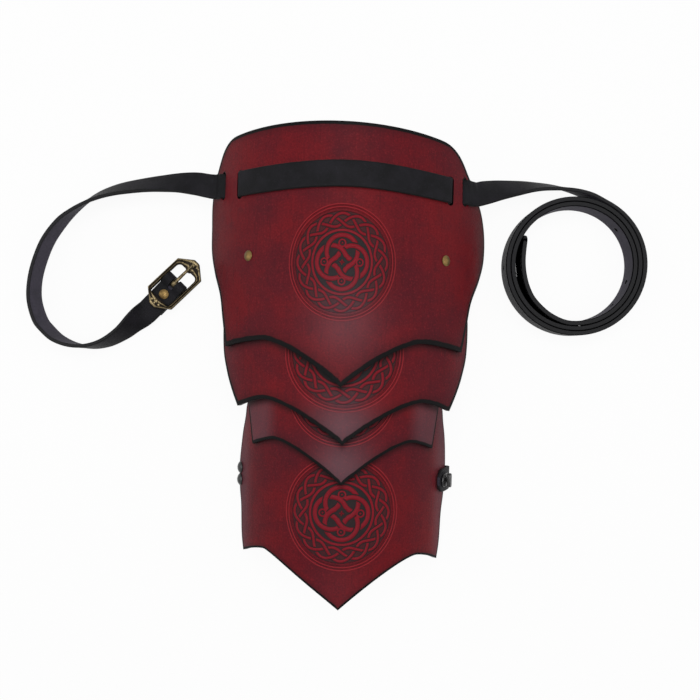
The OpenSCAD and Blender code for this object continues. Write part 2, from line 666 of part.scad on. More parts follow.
// Cuts the two corners of the free end
module strap_tip() {
    for (side = [-1, 1]) translate([0, 0, side * half_w]) rotate([45, 0, 0])
        cube([3 * neck_t, neck_w * 0.4, neck_w * 0.4], center = true);
}

// Neck buckle, in its own frame: the bar is at the origin, +X points to the free end of the tongue
buckle_tilt = atan((chape_tail_t + 2 * neck_t + layer_gap + metal_gap - bar_z + buckle_t / 2)
    / (buckle_l / 2 - buckle_near_end));
module at_buckle() {
    translate([buckle_x, buckle_y, 0]) rotate([0, 0, chape_turn]) children();
}
module neck_chape() {
    low_z = chape_tail_t + neck_t / 2;
    high_z = bar_z + fold_r + neck_t / 2;
    path = concat(
        [[-chape_l, low_z], [-chape_l / 2, low_z], [-2, low_z]],
        [for (i = [0:12]) let (a = -90 + 15 * i)
            [(fold_r + neck_t / 2) * cos(a), bar_z + (fold_r + neck_t / 2) * sin(a)]],
        [for (i = [1:6]) let (u = i / 6, x = -8.6 * u)
            [x, high_z + (top_layer_z - high_z) * u * u * (3 - 2 * u)]],
        [[-14, top_layer_z], [-25, top_layer_z], [-chape_end_x, top_layer_z]]
    );
    notch_w = 2 * tongue_w + 1;
    notch_l = 7;
    color(BLACK) at_buckle() difference() {
        translate([0, neck_w / 2, 0]) rotate([90, 0, 0]) linear_extrude(height = neck_w) band(path, neck_t);
        translate([-notch_l, -notch_w / 2, bar_z]) cube([20, notch_w, 20]);
        translate([-eye_r - 0.2, -notch_w / 2, -1]) cube([20, notch_w, 20]);
        translate([-chape_rivet_x, 0, -1]) cylinder(r = rivet_r + pin_gap, h = 20, $fn = 32);
    }
}
module neck_chape_rivet() {
    top = chape_tail_t + 2 * neck_t + layer_gap + metal_gap;
    color(BRASS) at_buckle() translate([-chape_rivet_x, 0, 0]) {
        translate([0, 0, top]) dome(rivet_head_r, rivet_head_h);
        translate([0, 0, 0.1]) cylinder(r = rivet_r, h = top, $fn = 32);
        translate([0, 0, 0.1]) cylinder(r = rivet_tail_r, h = chape_tail_t - 2 * metal_gap, $fn = 48);
    }
}
// Outline of the frame: straight rails between two gable ends
gable_l = 10;
nose_w = 3;
window_r = 4;
window_w = buckle_w - 2 * buckle_rail;
window_far = buckle_l / 2 - buckle_far_end;
window_near = -buckle_l / 2 + buckle_near_end;
module frame_outline() {
    tip = buckle_l / 2;
    side = buckle_w / 2;
    polygon([
        [tip, nose_w], [tip - gable_l, side], [gable_l - tip, side], [-tip, nose_w],
        [-tip, -nose_w], [gable_l - tip, -side], [tip - gable_l, -side], [tip, -nose_w]
    ]);
}
// Window: square over the strap and rounded at the far end, with a small bulge where the tongue rests
module frame_window() {
    side = window_w / 2;
    difference() {
        union() {
            translate([window_near, window_r - side])
                square([window_far - window_near, window_w - 2 * window_r]);
            translate([window_near, -side]) square([window_far - window_near - window_r, window_w]);
            for (y = [-1, 1]) translate([window_far - window_r, y * (side - window_r)])
                circle(r = window_r, $fn = 40);
        }
        translate([bulge_x, 0]) circle(r = bulge_r, $fn = 48);
    }
}
module neck_buckle_frame() {
    color(BRASS) at_buckle() translate([0, 0, bar_z]) rotate([0, buckle_tilt, 0]) {
        difference() {
            translate([0, 0, -buckle_t / 2]) linear_extrude(height = buckle_t) frame_outline();
            translate([0, 0, -buckle_t]) linear_extrude(height = 2 * buckle_t) frame_window();
        }
        rotate([90, 0, 0]) cylinder(r = bar_r, h = window_w + 1, center = true, $fn = 48);
    }
}
// Tongue: an eye round the bar and a rod that comes to rest on the far end of the frame
tongue_w = 2.2;
eye_r = bar_r + pin_gap + 1.5;
rest_x = window_far + 5.5;
bulge_r = 3.4;
bulge_x = window_far + 1.6;
// The rod comes down onto the first of the frame's top face that it meets, the bulge in the window
touch_x = bulge_x - bulge_r;
touch_z = -touch_x * tan(buckle_tilt) + buckle_t / 2 / cos(buckle_tilt) + tongue_r + 1.2 * metal_gap;
module neck_buckle_tongue() {
    lean = atan((touch_z - eye_r + tongue_r) / touch_x);
    color(BRASS) at_buckle() translate([0, 0, bar_z]) difference() {
        union() {
            rotate([90, 0, 0]) cylinder(r = eye_r, h = 2 * tongue_w, center = true, $fn = 48);
            translate([0, 0, eye_r - tongue_r]) rotate([0, 90 - lean, 0])
                cylinder(r = tongue_r, h = rest_x + 1, $fn = 32);
        }
        rotate([90, 0, 0]) cylinder(r = bar_r + pin_gap, h = 4 * tongue_w, center = true, $fn = 48);
    }
}

// Arm strap: riveted inside the left edge, along the table, round the right edge and up its outside
arm_in_r = lame_4_in_r - seat_gap - arm_t / 2;
lock_lift = lock_base_t + 0.5;
arm_out_r = lame_4_r + lock_lift + arm_t / 2;
arm_end_s = lock_s - lock_l / 2 - 3;
arm_start_s = dome_s - 16;
function lame_4_polar(s, r) = on_arc(s, lame_4_r, r, lame_4_z);
arm_z = arm_t / 2;
edge_dir = [cos(lame_4_a), -sin(lame_4_a)];
arm_in_edge = lame_4_polar(lame_4_half_w, arm_in_r);
arm_out_edge = lame_4_polar(lame_4_half_w, arm_out_r);
arm_in_corner = arm_in_edge + edge_dir * (arm_in_edge[1] - arm_z) / sin(lame_4_a);
arm_out_corner = arm_out_edge + edge_dir * (arm_out_edge[1] - arm_z) / sin(lame_4_a);
function left(p) = [-p[0], p[1]];
arm_path = concat(
    [for (i = [0:5]) left(lame_4_polar(arm_start_s + (lame_4_half_w - 1 - arm_start_s) * i / 5, arm_in_r))],
    rounded(left(arm_in_edge), left(arm_in_corner), [0, arm_z], 1.5),
    [[-60, arm_z], [0, arm_z], [60, arm_z]],
    rounded([0, arm_z], arm_out_corner, arm_out_edge, 2.6),
    [for (i = [0:6]) lame_4_polar(lame_4_half_w - 1 + (arm_end_s - lame_4_half_w + 1) * i / 6, arm_out_r)]
);
module arm_strap() {
    color(BLACK) difference() {
        translate([0, arm_w / 2, 0]) rotate([90, 0, 0]) linear_extrude(height = arm_w) band(arm_path, arm_t);
        for (side = [-1, 1]) on_plate(-dome_s, side * dome_pitch / 2, lame_4_r, lame_4_z, arm_in_r)
            cylinder(r = rivet_r + pin_gap, h = 3 * arm_t, center = true, $fn = 32);
        on_plate(lock_s, 0, lame_4_r, lame_4_z, arm_out_r)
            linear_extrude(height = 3 * arm_t, center = true) oval(slot_l + 1, slot_w + 1);
    }
}
module arm_strap_rivets() {
    tail = -plate_t - 2 * seat_gap - arm_t;
    color(DARK_METAL) for (side = [-1, 1])
        on_plate(-dome_s, side * dome_pitch / 2, lame_4_r, lame_4_z, lame_4_r) {
            translate([0, 0, metal_gap]) dome(dome_r, dome_h);
            translate([0, 0, tail]) cylinder(r = rivet_r, h = 2 * metal_gap - tail, $fn = 32);
            translate([0, 0, tail]) mirror([0, 0, 1]) dome(rivet_tail_r, rivet_head_h * 0.7);
        }
}

// Turn lock: a base on the plate, an eyelet in the strap over it and a bar that turns across the eyelet
slot_l = knob_l + 0.5;
slot_w = knob_w + 0.5;
post_r = 1.6;
knob_gap = 1;
lock_pin_r = 0.9;
lock_pin_x = 7.6;
collar_h = lock_lift + arm_t + eyelet_t + 0.3;
module oval(l, w) {
    square([l - w, w], center = true);
    for (side = [-1, 1]) translate([side * (l - w) / 2, 0]) circle(r = w / 2, $fn = 48);
}
module at_lock() {
    on_plate(lock_s, 0, lame_4_r, lame_4_z, lame_4_r) children();
}
module turn_lock_base() {
    color(DARK_METAL) {
        at_lock() difference() {
            translate([0, 0, metal_gap]) union() {
                linear_extrude(height = lock_base_t) oval(lock_l, lock_w);
                linear_extrude(height = collar_h - metal_gap) oval(slot_l - 3, slot_w - 0.6);
            }
            translate([0, 0, lock_base_t]) cylinder(r = post_r + pin_gap, h = 2 * collar_h, $fn = 40);
        }
        for (side = [-1, 1]) on_plate(lock_s + side * lock_pin_x, 0, lame_4_r, lame_4_z, lame_4_r)
            translate([0, 0, -plate_t - 1]) cylinder(r = lock_pin_r, h = plate_t + 1.5, $fn = 24);
    }
}
module turn_lock_eyelet() {
    base = lock_lift + arm_t + seat_gap;
    color(DARK_METAL) at_lock() translate([0, 0, base]) difference() {
        linear_extrude(height = eyelet_t) oval(lock_l, lock_w);
        translate([0, 0, -1]) linear_extrude(height = eyelet_t + 2) oval(slot_l, slot_w);
    }
}
module turn_lock_knob() {
    color(DARK_METAL) at_lock() {
        translate([0, 0, lock_base_t + metal_gap])
            cylinder(r = post_r, h = collar_h + knob_gap - lock_base_t, $fn = 40);
        translate([0, 0, collar_h + knob_gap]) linear_extrude(height = knob_t)
            rotate(90) oval(knob_l, knob_w);
    }
}

cap();
cap_hinge_straps();
cap_rivets();
lame_2();
lame_2_hinge_straps();
lame_2_rivets();
lame_3();
lame_3_hinge_straps();
lame_3_rivets();
lame_4();
lame_4_hinge_straps();
lame_4_rivets();
neck_strap_crossing();
neck_strap_buckle_run();
neck_strap_tail_run();
neck_strap_coil();
neck_chape();
neck_chape_rivet();
neck_buckle_frame();
neck_buckle_tongue();
arm_strap();
arm_strap_rivets();
turn_lock_base();
turn_lock_eyelet();
turn_lock_knob();
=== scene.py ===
# %% [markdown]
# # A leather pauldron
# This lesson dresses a shoulder guard of bent leather plates: a cap and three lames hang
# under each other, a long black strap runs through the cap to a brass buckle, and its
# spare end lies in a coil. The imported solids give the places and sizes, and we load
# them first.

# %% Load the frame
import math

import bmesh
import bpy
from mathutils import Matrix, Vector


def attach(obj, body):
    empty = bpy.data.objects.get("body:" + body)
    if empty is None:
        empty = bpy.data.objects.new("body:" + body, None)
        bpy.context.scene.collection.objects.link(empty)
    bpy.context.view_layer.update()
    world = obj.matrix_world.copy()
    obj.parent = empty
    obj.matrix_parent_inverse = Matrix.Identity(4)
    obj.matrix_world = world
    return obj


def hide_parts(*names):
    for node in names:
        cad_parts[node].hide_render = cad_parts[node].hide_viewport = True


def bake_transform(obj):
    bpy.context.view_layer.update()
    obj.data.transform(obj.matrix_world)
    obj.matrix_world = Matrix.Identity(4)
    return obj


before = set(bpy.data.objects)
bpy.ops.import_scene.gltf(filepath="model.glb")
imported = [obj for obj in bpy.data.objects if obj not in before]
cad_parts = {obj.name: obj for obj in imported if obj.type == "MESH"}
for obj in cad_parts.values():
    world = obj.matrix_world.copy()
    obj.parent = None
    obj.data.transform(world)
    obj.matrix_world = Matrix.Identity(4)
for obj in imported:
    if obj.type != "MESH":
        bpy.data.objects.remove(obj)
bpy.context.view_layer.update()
MM = 0.001

# %% [markdown]
# ## Camera
# The photograph looks straight down from 66 cm. So low a camera draws the high crown of the
# plates larger than the straps on the table, and that is why the height matters as much as
# the width. The object lies turned by a degree and a half, which the camera's roll gives.

# %% Camera
CAMERA_AT = (0.00456, 0.1175, 0.660)
SENSOR_MM, LENS_MM = 36, 35.73
ROLL = math.radians(1.5)
scene = bpy.context.scene
view = bpy.data.cameras.new("overhead")
view.sensor_width = SENSOR_MM
view.lens = LENS_MM
camera = bpy.data.objects.new("overhead", view)
camera.location = CAMERA_AT
camera.rotation_euler = (0, 0, ROLL)
scene.collection.objects.link(camera)
scene.camera = camera
print("camera:", CAMERA_AT[2], "m above the table")

# %% [markdown]
# ## Helpers for shader trees
# Shader trees are long to click together, so we write them as plain sums. A wire is one
# output of a node, and adding or multiplying wires adds the nodes that do so.

# %% Helpers for shader trees
class Wire:
    """An output in a shader tree. Arithmetic on it adds math nodes to its tree."""

    def __init__(self, socket):
        self.socket, self.tree = socket, socket.id_data

    def __add__(self, other):
        return calc("ADD", self, other)

    def __sub__(self, other):
        return calc("SUBTRACT", self, other)

    def __rsub__(self, other):
        return calc("SUBTRACT", other, self)

    def __mul__(self, other):
        return calc("MULTIPLY", self, other)

    def __truediv__(self, other):
        return calc("DIVIDE", self, other)

    def __abs__(self):
        return calc("ABSOLUTE", self)

    __radd__, __rmul__ = __add__, __mul__


def plug(socket, value):
    if isinstance(value, Wire):
        value.tree.links.new(value.socket, socket)
    else:
        socket.default_value = value


def add(tree, kind, inputs=(), **settings):
    """Adds a node, with its settings and with wires or plain values in its inputs."""
    node = tree.nodes.new(kind)
    for key, value in settings.items():
        setattr(node, key, value)
    for name, value in dict(inputs).items():
        plug(node.inputs[name], value)
    return node


def out_of(tree, kind, inputs=(), output=0, **settings):
    return Wire(add(tree, kind, inputs, **settings).outputs[output])


def calc(operation, *values):
    tree = next(value.tree for value in values if isinstance(value, Wire))
    return out_of(tree, "ShaderNodeMath", dict(enumerate(values)), operation=operation)


def largest(first, *others):
    for other in others:
        first = calc("MAXIMUM", first, other)
    return first


# %% [markdown]
# With wires at hand, the usual steps of a finish are short: a value goes through a soft
# step, two colours are mixed, and tints are laid over each other through masks. Colours are
# given as a picture editor shows them and turned linear here. Places and noises tell one
# part of the surface from another.

# %% Helpers for masks and colours
def step(value, low, high):
    """0 at low and 1 at high, with a soft slope between them."""
    return out_of(value.tree, "ShaderNodeMapRange", {"Value": value, "From Min": low, "From Max": high},
                  interpolation_type="SMOOTHSTEP")


def blend(factor, first, second):
    """Mixes two colours, which are inputs 6 and 7 and output 2 of the node."""
    return out_of(factor.tree, "ShaderNodeMix", {0: factor, 6: first, 7: second}, 2, data_type="RGBA")


def shade(r, g, b):
    linear = [c / 255 / 12.92 if c <= 10 else ((c / 255 + 0.055) / 1.055) ** 2.4 for c in (r, g, b)]
    return (*linear, 1)


def paint(colour, *layers):
    """Lays tints over a colour, each through its own mask, and the first one lowest."""
    for mask, tint in layers:
        colour = blend(mask, colour, tint if isinstance(tint, Wire) else shade(*tint))
    return colour


def stored(tree, name):
    """A value that the piece holds for each of its points."""
    return out_of(tree, "ShaderNodeAttribute", output="Fac", attribute_name=name)


def scaled(place, scale):
    return out_of(place.tree, "ShaderNodeMapping", {"Vector": place, "Scale": scale})


def object_place(tree, scale=(1, 1, 1)):
    return scaled(out_of(tree, "ShaderNodeTexCoord", output="Object"), scale)


def xyz(place):
    return [Wire(socket) for socket in add(place.tree, "ShaderNodeSeparateXYZ", {0: place}).outputs]


def noise(place, scale, detail, roughness):
    return out_of(place.tree, "ShaderNodeTexNoise",
                  {"Vector": place, "Scale": scale, "Detail": detail, "Roughness": roughness})


# %% [markdown]
# An effect that several finishes share is a node group with named inputs and outputs. We
# build it once, and each material places it with its own values.

# %% Helpers for node groups
def new_group(name, inputs, outputs):
    """inputs gives each input's first value, and None for a place. All outputs are numbers."""
    group = bpy.data.node_groups.new(name, "ShaderNodeTree")
    for label, value in inputs.items():
        kind = "NodeSocketVector" if value is None else "NodeSocketFloat"
        socket = group.interface.new_socket(name=label, in_out="INPUT", socket_type=kind)
        if value is not None:
            socket.default_value = value
    for label in outputs:
        group.interface.new_socket(name=label, in_out="OUTPUT", socket_type="NodeSocketFloat")
    given = {socket.name: Wire(socket) for socket in add(group, "NodeGroupInput").outputs if socket.name}
    print("group:", name)
    return group, given, add(group, "NodeGroupOutput").inputs


def use_group(tree, group, **values):
    node = add(tree, "ShaderNodeGroup", values, node_tree=group)
    return {socket.name: Wire(socket) for socket in node.outputs}


def put_out(result, **values):
    for name, value in values.items():
        plug(result[name], value)


# %% [markdown]
# ## Floor and world
# The photograph has a white ground. The floor is a white sheet that the camera and shiny
# surfaces see as pure white, mixed with a little real shading so that a faint shadow stays.
# The world looks white in the same way, while it lights the leather only faintly.

# %% Floor and world
FLOOR_WHITE = 0.93
WORLD_LIGHT = 0.3


def seen_white(tree):
    """1 for what the camera, shiny surfaces and glass see, 0 for light that falls on things."""
    seen = add(tree, "ShaderNodeLightPath").outputs
    return largest(*(Wire(seen[f"Is {kind} Ray"]) for kind in ("Camera", "Glossy", "Transmission")))


def white_ground(name):
    material = bpy.data.materials.new(name)
    material.use_nodes = True
    tree = material.node_tree
    tree.nodes.clear()
    plain = out_of(tree, "ShaderNodeBsdfDiffuse", {"Color": (0.86, 0.86, 0.86, 1)})
    glow = out_of(tree, "ShaderNodeEmission")
    mix = out_of(tree, "ShaderNodeMixShader", {0: seen_white(tree) * FLOOR_WHITE, 1: plain, 2: glow})
    add(tree, "ShaderNodeOutputMaterial", {0: mix})
    return material


ground = bpy.data.meshes.new("ground")
sheet = bmesh.new()
bmesh.ops.create_grid(sheet, x_segments=1, y_segments=1, size=4)
sheet.to_mesh(ground)
sheet.free()
floor = bpy.data.objects.new("ground", ground)
floor.location = (0, 0.1, -0.0004)
floor.data.materials.append(white_ground("white_sheet"))
scene.collection.objects.link(floor)

world = bpy.data.worlds.new("studio")
scene.world = world
world.use_nodes = True
sky = world.node_tree
sky.nodes.clear()
strength = WORLD_LIGHT + seen_white(sky) * (1 - WORLD_LIGHT)
add(sky, "ShaderNodeOutputWorld",
    {0: out_of(sky, "ShaderNodeBackground", {"Color": (1, 1, 1, 1), "Strength": strength})})
print("floor:", floor.name, "and world:", world.name)

# %% [markdown]
# ## Lamps
# A large soft lamp and a small one hang overhead, and one fills each side. They are sheets of
# light rather than points, because dull leather shows its bend by soft shading.

# %% Lamps
def lamp(name, place, size, power, aim=(0, 0.1, 0.03)):
    light = bpy.data.lights.new(name, "AREA")
    light.shape = "RECTANGLE"
    light.size, light.size_y = size
    light.energy = power
    item = bpy.data.objects.new(name, light)
    item.location = place
    item.rotation_euler = (Vector(aim) - Vector(place)).to_track_quat("-Z", "Y").to_euler()
    scene.collection.objects.link(item)
    print("lamp:", name, power, "W")


lamp("overhead_soft", (0.0, 0.65, 1.35), (0.9, 0.7), 7)
lamp("overhead_small", (0.0, -0.03, 1.5), (0.2, 0.25), 4)
lamp("left_soft", (-1.3, 0.2, 0.9), (0.9, 1.4), 6)
lamp("right_soft", (1.3, 0.2, 0.9), (0.9, 1.4), 5)
scene.view_settings.view_transform = "Standard"

# %% [markdown]
# ## Leather grain
# Both leathers share one grain: small pebbles from a Voronoi pattern, softened by noise.
# It is a group with its scales as inputs, so the thin straps can have a finer grain.

# %% Leather grain
grain_group, given, result = new_group("leather grain", {"Place": None, "Pebbles": 900.0, "Creases": 60.0}, ["Height"])
pebbles = out_of(grain_group, "ShaderNodeTexVoronoi", {"Vector": given["Place"], "Scale": given["Pebbles"]},
                 "Distance", feature="DISTANCE_TO_EDGE")
creases = noise(given["Place"], given["Creases"], 6, 0.62)
put_out(result, Height=step(pebbles, 0.0, 0.22) * 0.45 + creases * 0.55)

# %% [markdown]
# ## Interlace
# The plates carry a tooled roundel of plain traditional knotwork. A round braid of three
# leads can be drawn with one formula: each lead swings in and out round the centre, and its
# height swings twice as fast, so it goes over and under in turn. One group draws a lead, and
# a second one lays three leads over each other. All measures are millimetres.

# %% Interlace
EDGE_BLUR = 0.15
BRAID = {"Radius": 0.0, "Angle": 0.0, "Middle": 30.0, "Swing": 5.0, "Turns": 4.0, "Width": 2.0, "Gap": 0.6}
lead_group, given, result = new_group("interlace lead", {**BRAID, "Phase": 0.0}, ["Inside", "Wide", "Level", "Across"])
swing = given["Swing"]
swing_angle = given["Angle"] * given["Turns"] + given["Phase"]
line = given["Middle"] + swing * calc("COSINE", swing_angle)
lean = swing * given["Turns"] * calc("SINE", swing_angle) / largest(given["Radius"], 1.0)
away = abs(given["Radius"] - line) / calc("SQRT", 1.0 + lean * lean)
half = given["Width"] * 0.5
brim = half + given["Gap"]
put_out(result, Inside=step(away, half + EDGE_BLUR, half - EDGE_BLUR),
        Wide=step(away, brim + EDGE_BLUR, brim - EDGE_BLUR), Level=calc("SINE", swing_angle * 2.0), Across=away / half)

braid_group, given, result = new_group("interlace braid", BRAID, ["Band", "Outline", "Height"])
leads = [use_group(braid_group, lead_group, Phase=given["Turns"] * (2 * math.pi * k), **given) for k in range(3)]
found = {"Band": [], "Height": [], "Outline": []}
for k, lead in enumerate(leads):
    clear = lead["Inside"]
    for other in leads[:k] + leads[k + 1:]:
        clear = clear * (1.0 - other["Wide"] * calc("GREATER_THAN", other["Level"], lead["Level"]))
    crown = 1.0 - calc("POWER", calc("MINIMUM", lead["Across"], 1.0), 2.0)
    found["Band"].append(clear)
    found["Height"].append(clear * (0.35 + crown * 0.65))
    found["Outline"].append(lead["Wide"])
put_out(result, **{name: largest(*parts) for name, parts in found.items()})

# %% [markdown]
# ## The roundel
# Two thin rings frame the roundel. Inside lie a fine braid of sixteen bights, a plain ring,
# a bold knot of four loops and four small eyes between its loops. The ground is pressed
# down and dyed dark, and the leads stay red.

# %% The roundel
roundel_group, given, result = new_group("tooled roundel", {"Place": None}, ["Raised", "Ground", "Ring", "Height"])
across, along, _ = xyz(given["Place"])


def distance(x, y):
    return calc("SQRT", x * x + y * y)


radius = distance(across, along)
angle = calc("ARCTAN2", along, across)


def ring_line(at, width):
    return step(abs(radius - at), width / 2 + 0.25, width / 2 - 0.25)


border = use_group(roundel_group, braid_group, Radius=radius, Angle=angle,
                   Middle=35.2, Swing=5.4, Turns=16 / 3, Width=2.5, Gap=0.75)
heart = use_group(roundel_group, braid_group, Radius=radius, Angle=angle,
                  Middle=14.5, Swing=8.0, Turns=4 / 3, Width=3.8, Gap=0.9)
wide_x, wide_y = abs(across), abs(along)
eye = distance(largest(wide_x, wide_y) - 15.8, calc("MINIMUM", wide_x, wide_y))
eyes = largest(step(abs(eye - 2.9), 1.0, 0.55), step(eye, 1.1, 0.6))
inner_ring = ring_line(26.6, 2.2)
rings = largest(ring_line(45.9, 1.0), ring_line(48.4, 1.0))
disc = step(radius, 42.6, 42.0)
raised = largest(eyes, border["Band"], heart["Band"], inner_ring)
tallest = largest(largest(eyes, inner_ring) * 0.7, border["Height"], heart["Height"])
hollow = largest(step(radius, 28.6, 28.0), 0.6 + border["Outline"] * 0.4) * (1.0 - raised)
relief = tallest * disc + (1.0 - disc) - ring_line(44.7, 0.9) * 0.5 - ring_line(47.1, 0.9) * 0.4
put_out(result, Raised=raised * disc, Ground=hollow * disc, Ring=rings, Height=relief + rings * 0.25)

# %% [markdown]
# ## Helpers for materials
# Every material starts as one plain surface. Its colour, its other inputs and a chain of
# bumps are laid on at the end.

# %% Helpers for materials
def finished(name, roughness, metallic=0.0, coat=0.0, gloss=0.5):
    material = bpy.data.materials.new(name)
    material.use_nodes = True
    surface = material.node_tree.nodes["Principled BSDF"]
    for label, value in (("Roughness", roughness), ("Metallic", metallic), ("Coat Weight", coat),
                         ("Coat Roughness", 0.3), ("Specular IOR Level", gloss)):
        plug(surface.inputs[label], value)
    print("material:", name)
    return material, material.node_tree, surface


def lay_on(surface, colour, bumps, inputs=()):
    """Each bump is a height, its distance in metres and its strength."""
    for label, value in {"Base Color": colour, **dict(inputs)}.items():
        plug(surface.inputs[label], value)
    chain = {}
    for height, distance_m, strength in bumps:
        bump = {"Height": height, "Distance": distance_m, "Strength": strength, **chain}
        chain = {"Normal": out_of(colour.tree, "ShaderNodeBump", bump)}
    plug(surface.inputs["Normal"], chain["Normal"])


# %% [markdown]
# ## Red leather
# The plates are dyed deep red and rubbed with a dark antique finish that stays in the
# hollows and along the fibres. Their cut edges and a narrow border are dyed black. Three
# masks are stored by each plate: how far a point lies from the edge, as a share of the
# border's width, a painted sheen that stands in for pale reflections, and a painted shadow
# under the plate above. Seen at a flat angle, the leather gets painted shade, a darker
# colour, and it loses its gloss.

# %% Red leather
GLOSS = 0.065
red_leather, tree, surface = finished("red_leather", 0.42, gloss=GLOSS)
place = object_place(tree)
clouds = noise(place, 17.0, 6.0, 0.55)
mottle = noise(place, 95.0, 5.0, 0.6)
specks = noise(place, 620.0, 3.0, 0.6)
fibres = noise(object_place(tree, (380, 24, 380)), 1.0, 4.0, 0.6)
grain = use_group(tree, grain_group, Place=place, Pebbles=1100.0, Creases=150.0)
chart = out_of(tree, "ShaderNodeUVMap", uv_map="tooling")
roundel = use_group(tree, roundel_group, Place=scaled(chart, (100, 100, 100)))
rim = stored(tree, "rim")
facing = out_of(tree, "ShaderNodeLayerWeight", output="Facing")
colour = paint(
    blend(step(clouds, 0.3, 0.7), shade(81, 20, 29), shade(107, 21, 27)),
    (step(mottle, 0.48, 0.74) * 0.32, (62, 22, 29)),
    (step(fibres, 0.5, 0.7) * 0.28, (56, 18, 24)),
    (step(specks, 0.5, 0.68) * 0.35, (58, 18, 24)),
    (step(specks, 0.46, 0.3) * 0.3, (136, 34, 40)),
    (roundel["Ring"] * 0.85, (142, 38, 44)),
    (roundel["Raised"] * 0.7, (132, 28, 39)),
    (roundel["Ground"] * (0.8 + clouds * 0.4), (37, 33, 34)),
    (step(rim + mottle * 1.5, 4.4, 0.8) * 0.55, (48, 15, 20)),
    # Painted shade: where the leather is seen at a flat angle, its colour turns darker.
    (step(facing, 0.5, 0.9) * 0.6, (52, 6, 10)),
    # Painted sheen: a pale mauve in place of soft reflections above the point and on the flanks.
    (stored(tree, "painted_sheen") * (0.3 + clouds * 0.34), (112, 92, 100)),
    # Painted shadow under the hem of the plate above.
    (stored(tree, "painted_hem_shadow") * (0.92 - mottle * 0.3), (17, 9, 12)),
    (step(rim + (mottle - 0.5) * 0.6, 1.15, 0.85), (9, 9, 10)),
)
lay_on(surface, colour, [(grain["Height"], 0.0002, 0.4), (roundel["Height"], 0.0011, 1.0), (mottle, 0.0004, 0.12)],
       {"Specular IOR Level": GLOSS - step(facing, 0.4, 0.8) * 0.055, "Roughness": 0.34 + specks * 0.2})

# %% [markdown]
# The inner side of the plates is bare flesh side, brown and dull, and the cut edges are
# burnished black. These are two materials of their own, which the thickness modifier gives
# to the inner faces and to the rim.

# %% Flesh side and burnished edge
flesh_side, tree, surface = finished("flesh_side", 0.85)
place = object_place(tree)
fuzz = noise(place, 420.0, 6.0, 0.7)
patches = noise(place, 25.0, 4.0, 0.6)
brown = blend(step(patches, 0.35, 0.7), shade(104, 60, 46), shade(128, 80, 60))
lay_on(surface, paint(brown, (step(fuzz, 0.45, 0.7), (88, 48, 38))), [(fuzz, 0.0004, 0.6)])

burnished_edge, tree, surface = finished("burnished_edge", 0.42, gloss=0.05)
layers = noise(object_place(tree, (40, 40, 900)), 1.0, 3.0, 0.5)
lay_on(surface, blend(layers, shade(12, 12, 13), shade(26, 25, 26)), [(layers, 0.0002, 0.4)])

# %% [markdown]
# ## Black strap leather
# The straps are thick, smooth and black, with a faint violet cast on their faces and a dull
# green one at the cut edges. The colour takes the edge from the same attribute as above.
# Hardly any light gets between the turns of the coil: a mask of the covered faces, below the
# strap's upper edge, and of the grooves between the turns makes them black there.

# %% Black strap leather
NO_LIGHT = (3, 3, 4)


def between_turns(tree, name):
    """The covered faces and the grooves, by their height above the table in metres."""
    z = xyz(object_place(tree))[2]
    face = stored(tree, name) * step(z, 0.0213, 0.0202)
    groove = step(z, 0.02208, 0.0219) - step(z, 0.0212, 0.0206)
    return largest(face, stored(tree, "wound") * groove)


black_leather, tree, surface = finished("black_leather", 0.5, gloss=0.07)
place = object_place(tree)
clouds = noise(place, 40.0, 5.0, 0.6)
specks = noise(place, 500.0, 3.0, 0.6)
grain = use_group(tree, grain_group, Place=place, Pebbles=1500.0, Creases=220.0)
edge_tint = blend(stored(tree, "wound"), shade(24, 25, 24), shade(44, 45, 44))
inside = between_turns(tree, "covered_out")
colour = paint(
    blend(step(clouds, 0.35, 0.68), shade(17, 17, 19), shade(28, 27, 31)),
    (step(specks, 0.55, 0.8) * 0.5, (40, 39, 44)),
    (step(stored(tree, "rim"), 0.9, 0.2), edge_tint),
    (inside, NO_LIGHT),
)
lay_on(surface, colour, [(grain["Height"], 0.00016, 0.5), (clouds, 0.0004, 0.3)],
       {"Specular IOR Level": (1.0 - inside) * 0.07, "Roughness": 0.42 + clouds * 0.2})

# %% [markdown]
# The straps' inner side is softer and paler, with a violet cast.

# %% Inner side of the straps
strap_back, tree, surface = finished("strap_back", 0.7, gloss=0.2)
place = object_place(tree)
nap = noise(place, 330.0, 5.0, 0.65)
patches = noise(place, 30.0, 4.0, 0.6)
inside = between_turns(tree, "covered_in")
colour = paint(
    blend(step(patches, 0.35, 0.7), shade(46, 44, 53), shade(60, 56, 68)),
    (step(nap, 0.5, 0.75) * 0.5, (34, 32, 40)),
    (step(stored(tree, "rim"), 1.6, 0.6), (20, 20, 22)),
    (inside, NO_LIGHT),
)
lay_on(surface, colour, [(nap, 0.0002, 0.4)], {"Specular IOR Level": (1.0 - inside) * 0.2})

# %% [markdown]
# ## Metals
# The buckle is antiqued brass: bright on its worn ridges, brown-black in its hollows. The
# wear comes from an attribute that holds how high a point lies on the moulding. The rivet
# caps are plainer brass, and the small fittings of the arm strap are black-coated.

# %% Metals
old_brass, tree, surface = finished("old_brass", 0.36, metallic=0.92)
tarnish = noise(object_place(tree), 320.0, 5.0, 0.7)
bright = step(stored(tree, "ridge") + (tarnish - 0.5) * 1.1, 0.45, 1.1)
lay_on(surface, blend(bright, shade(32, 27, 23), shade(126, 112, 82)), [(tarnish, 0.0004, 0.5)],
       {"Roughness": 0.55 - bright * 0.22})

cap_brass, tree, surface = finished("cap_brass", 0.38, metallic=0.9)
spots = noise(object_place(tree), 260.0, 5.0, 0.7)
plain = blend(step(spots, 0.4, 0.72), shade(116, 94, 56), shade(78, 60, 36))
lay_on(surface, paint(plain, (step(stored(tree, "ridge"), 0.25, 0.02), (52, 38, 26))), [(spots, 0.0003, 0.4)])

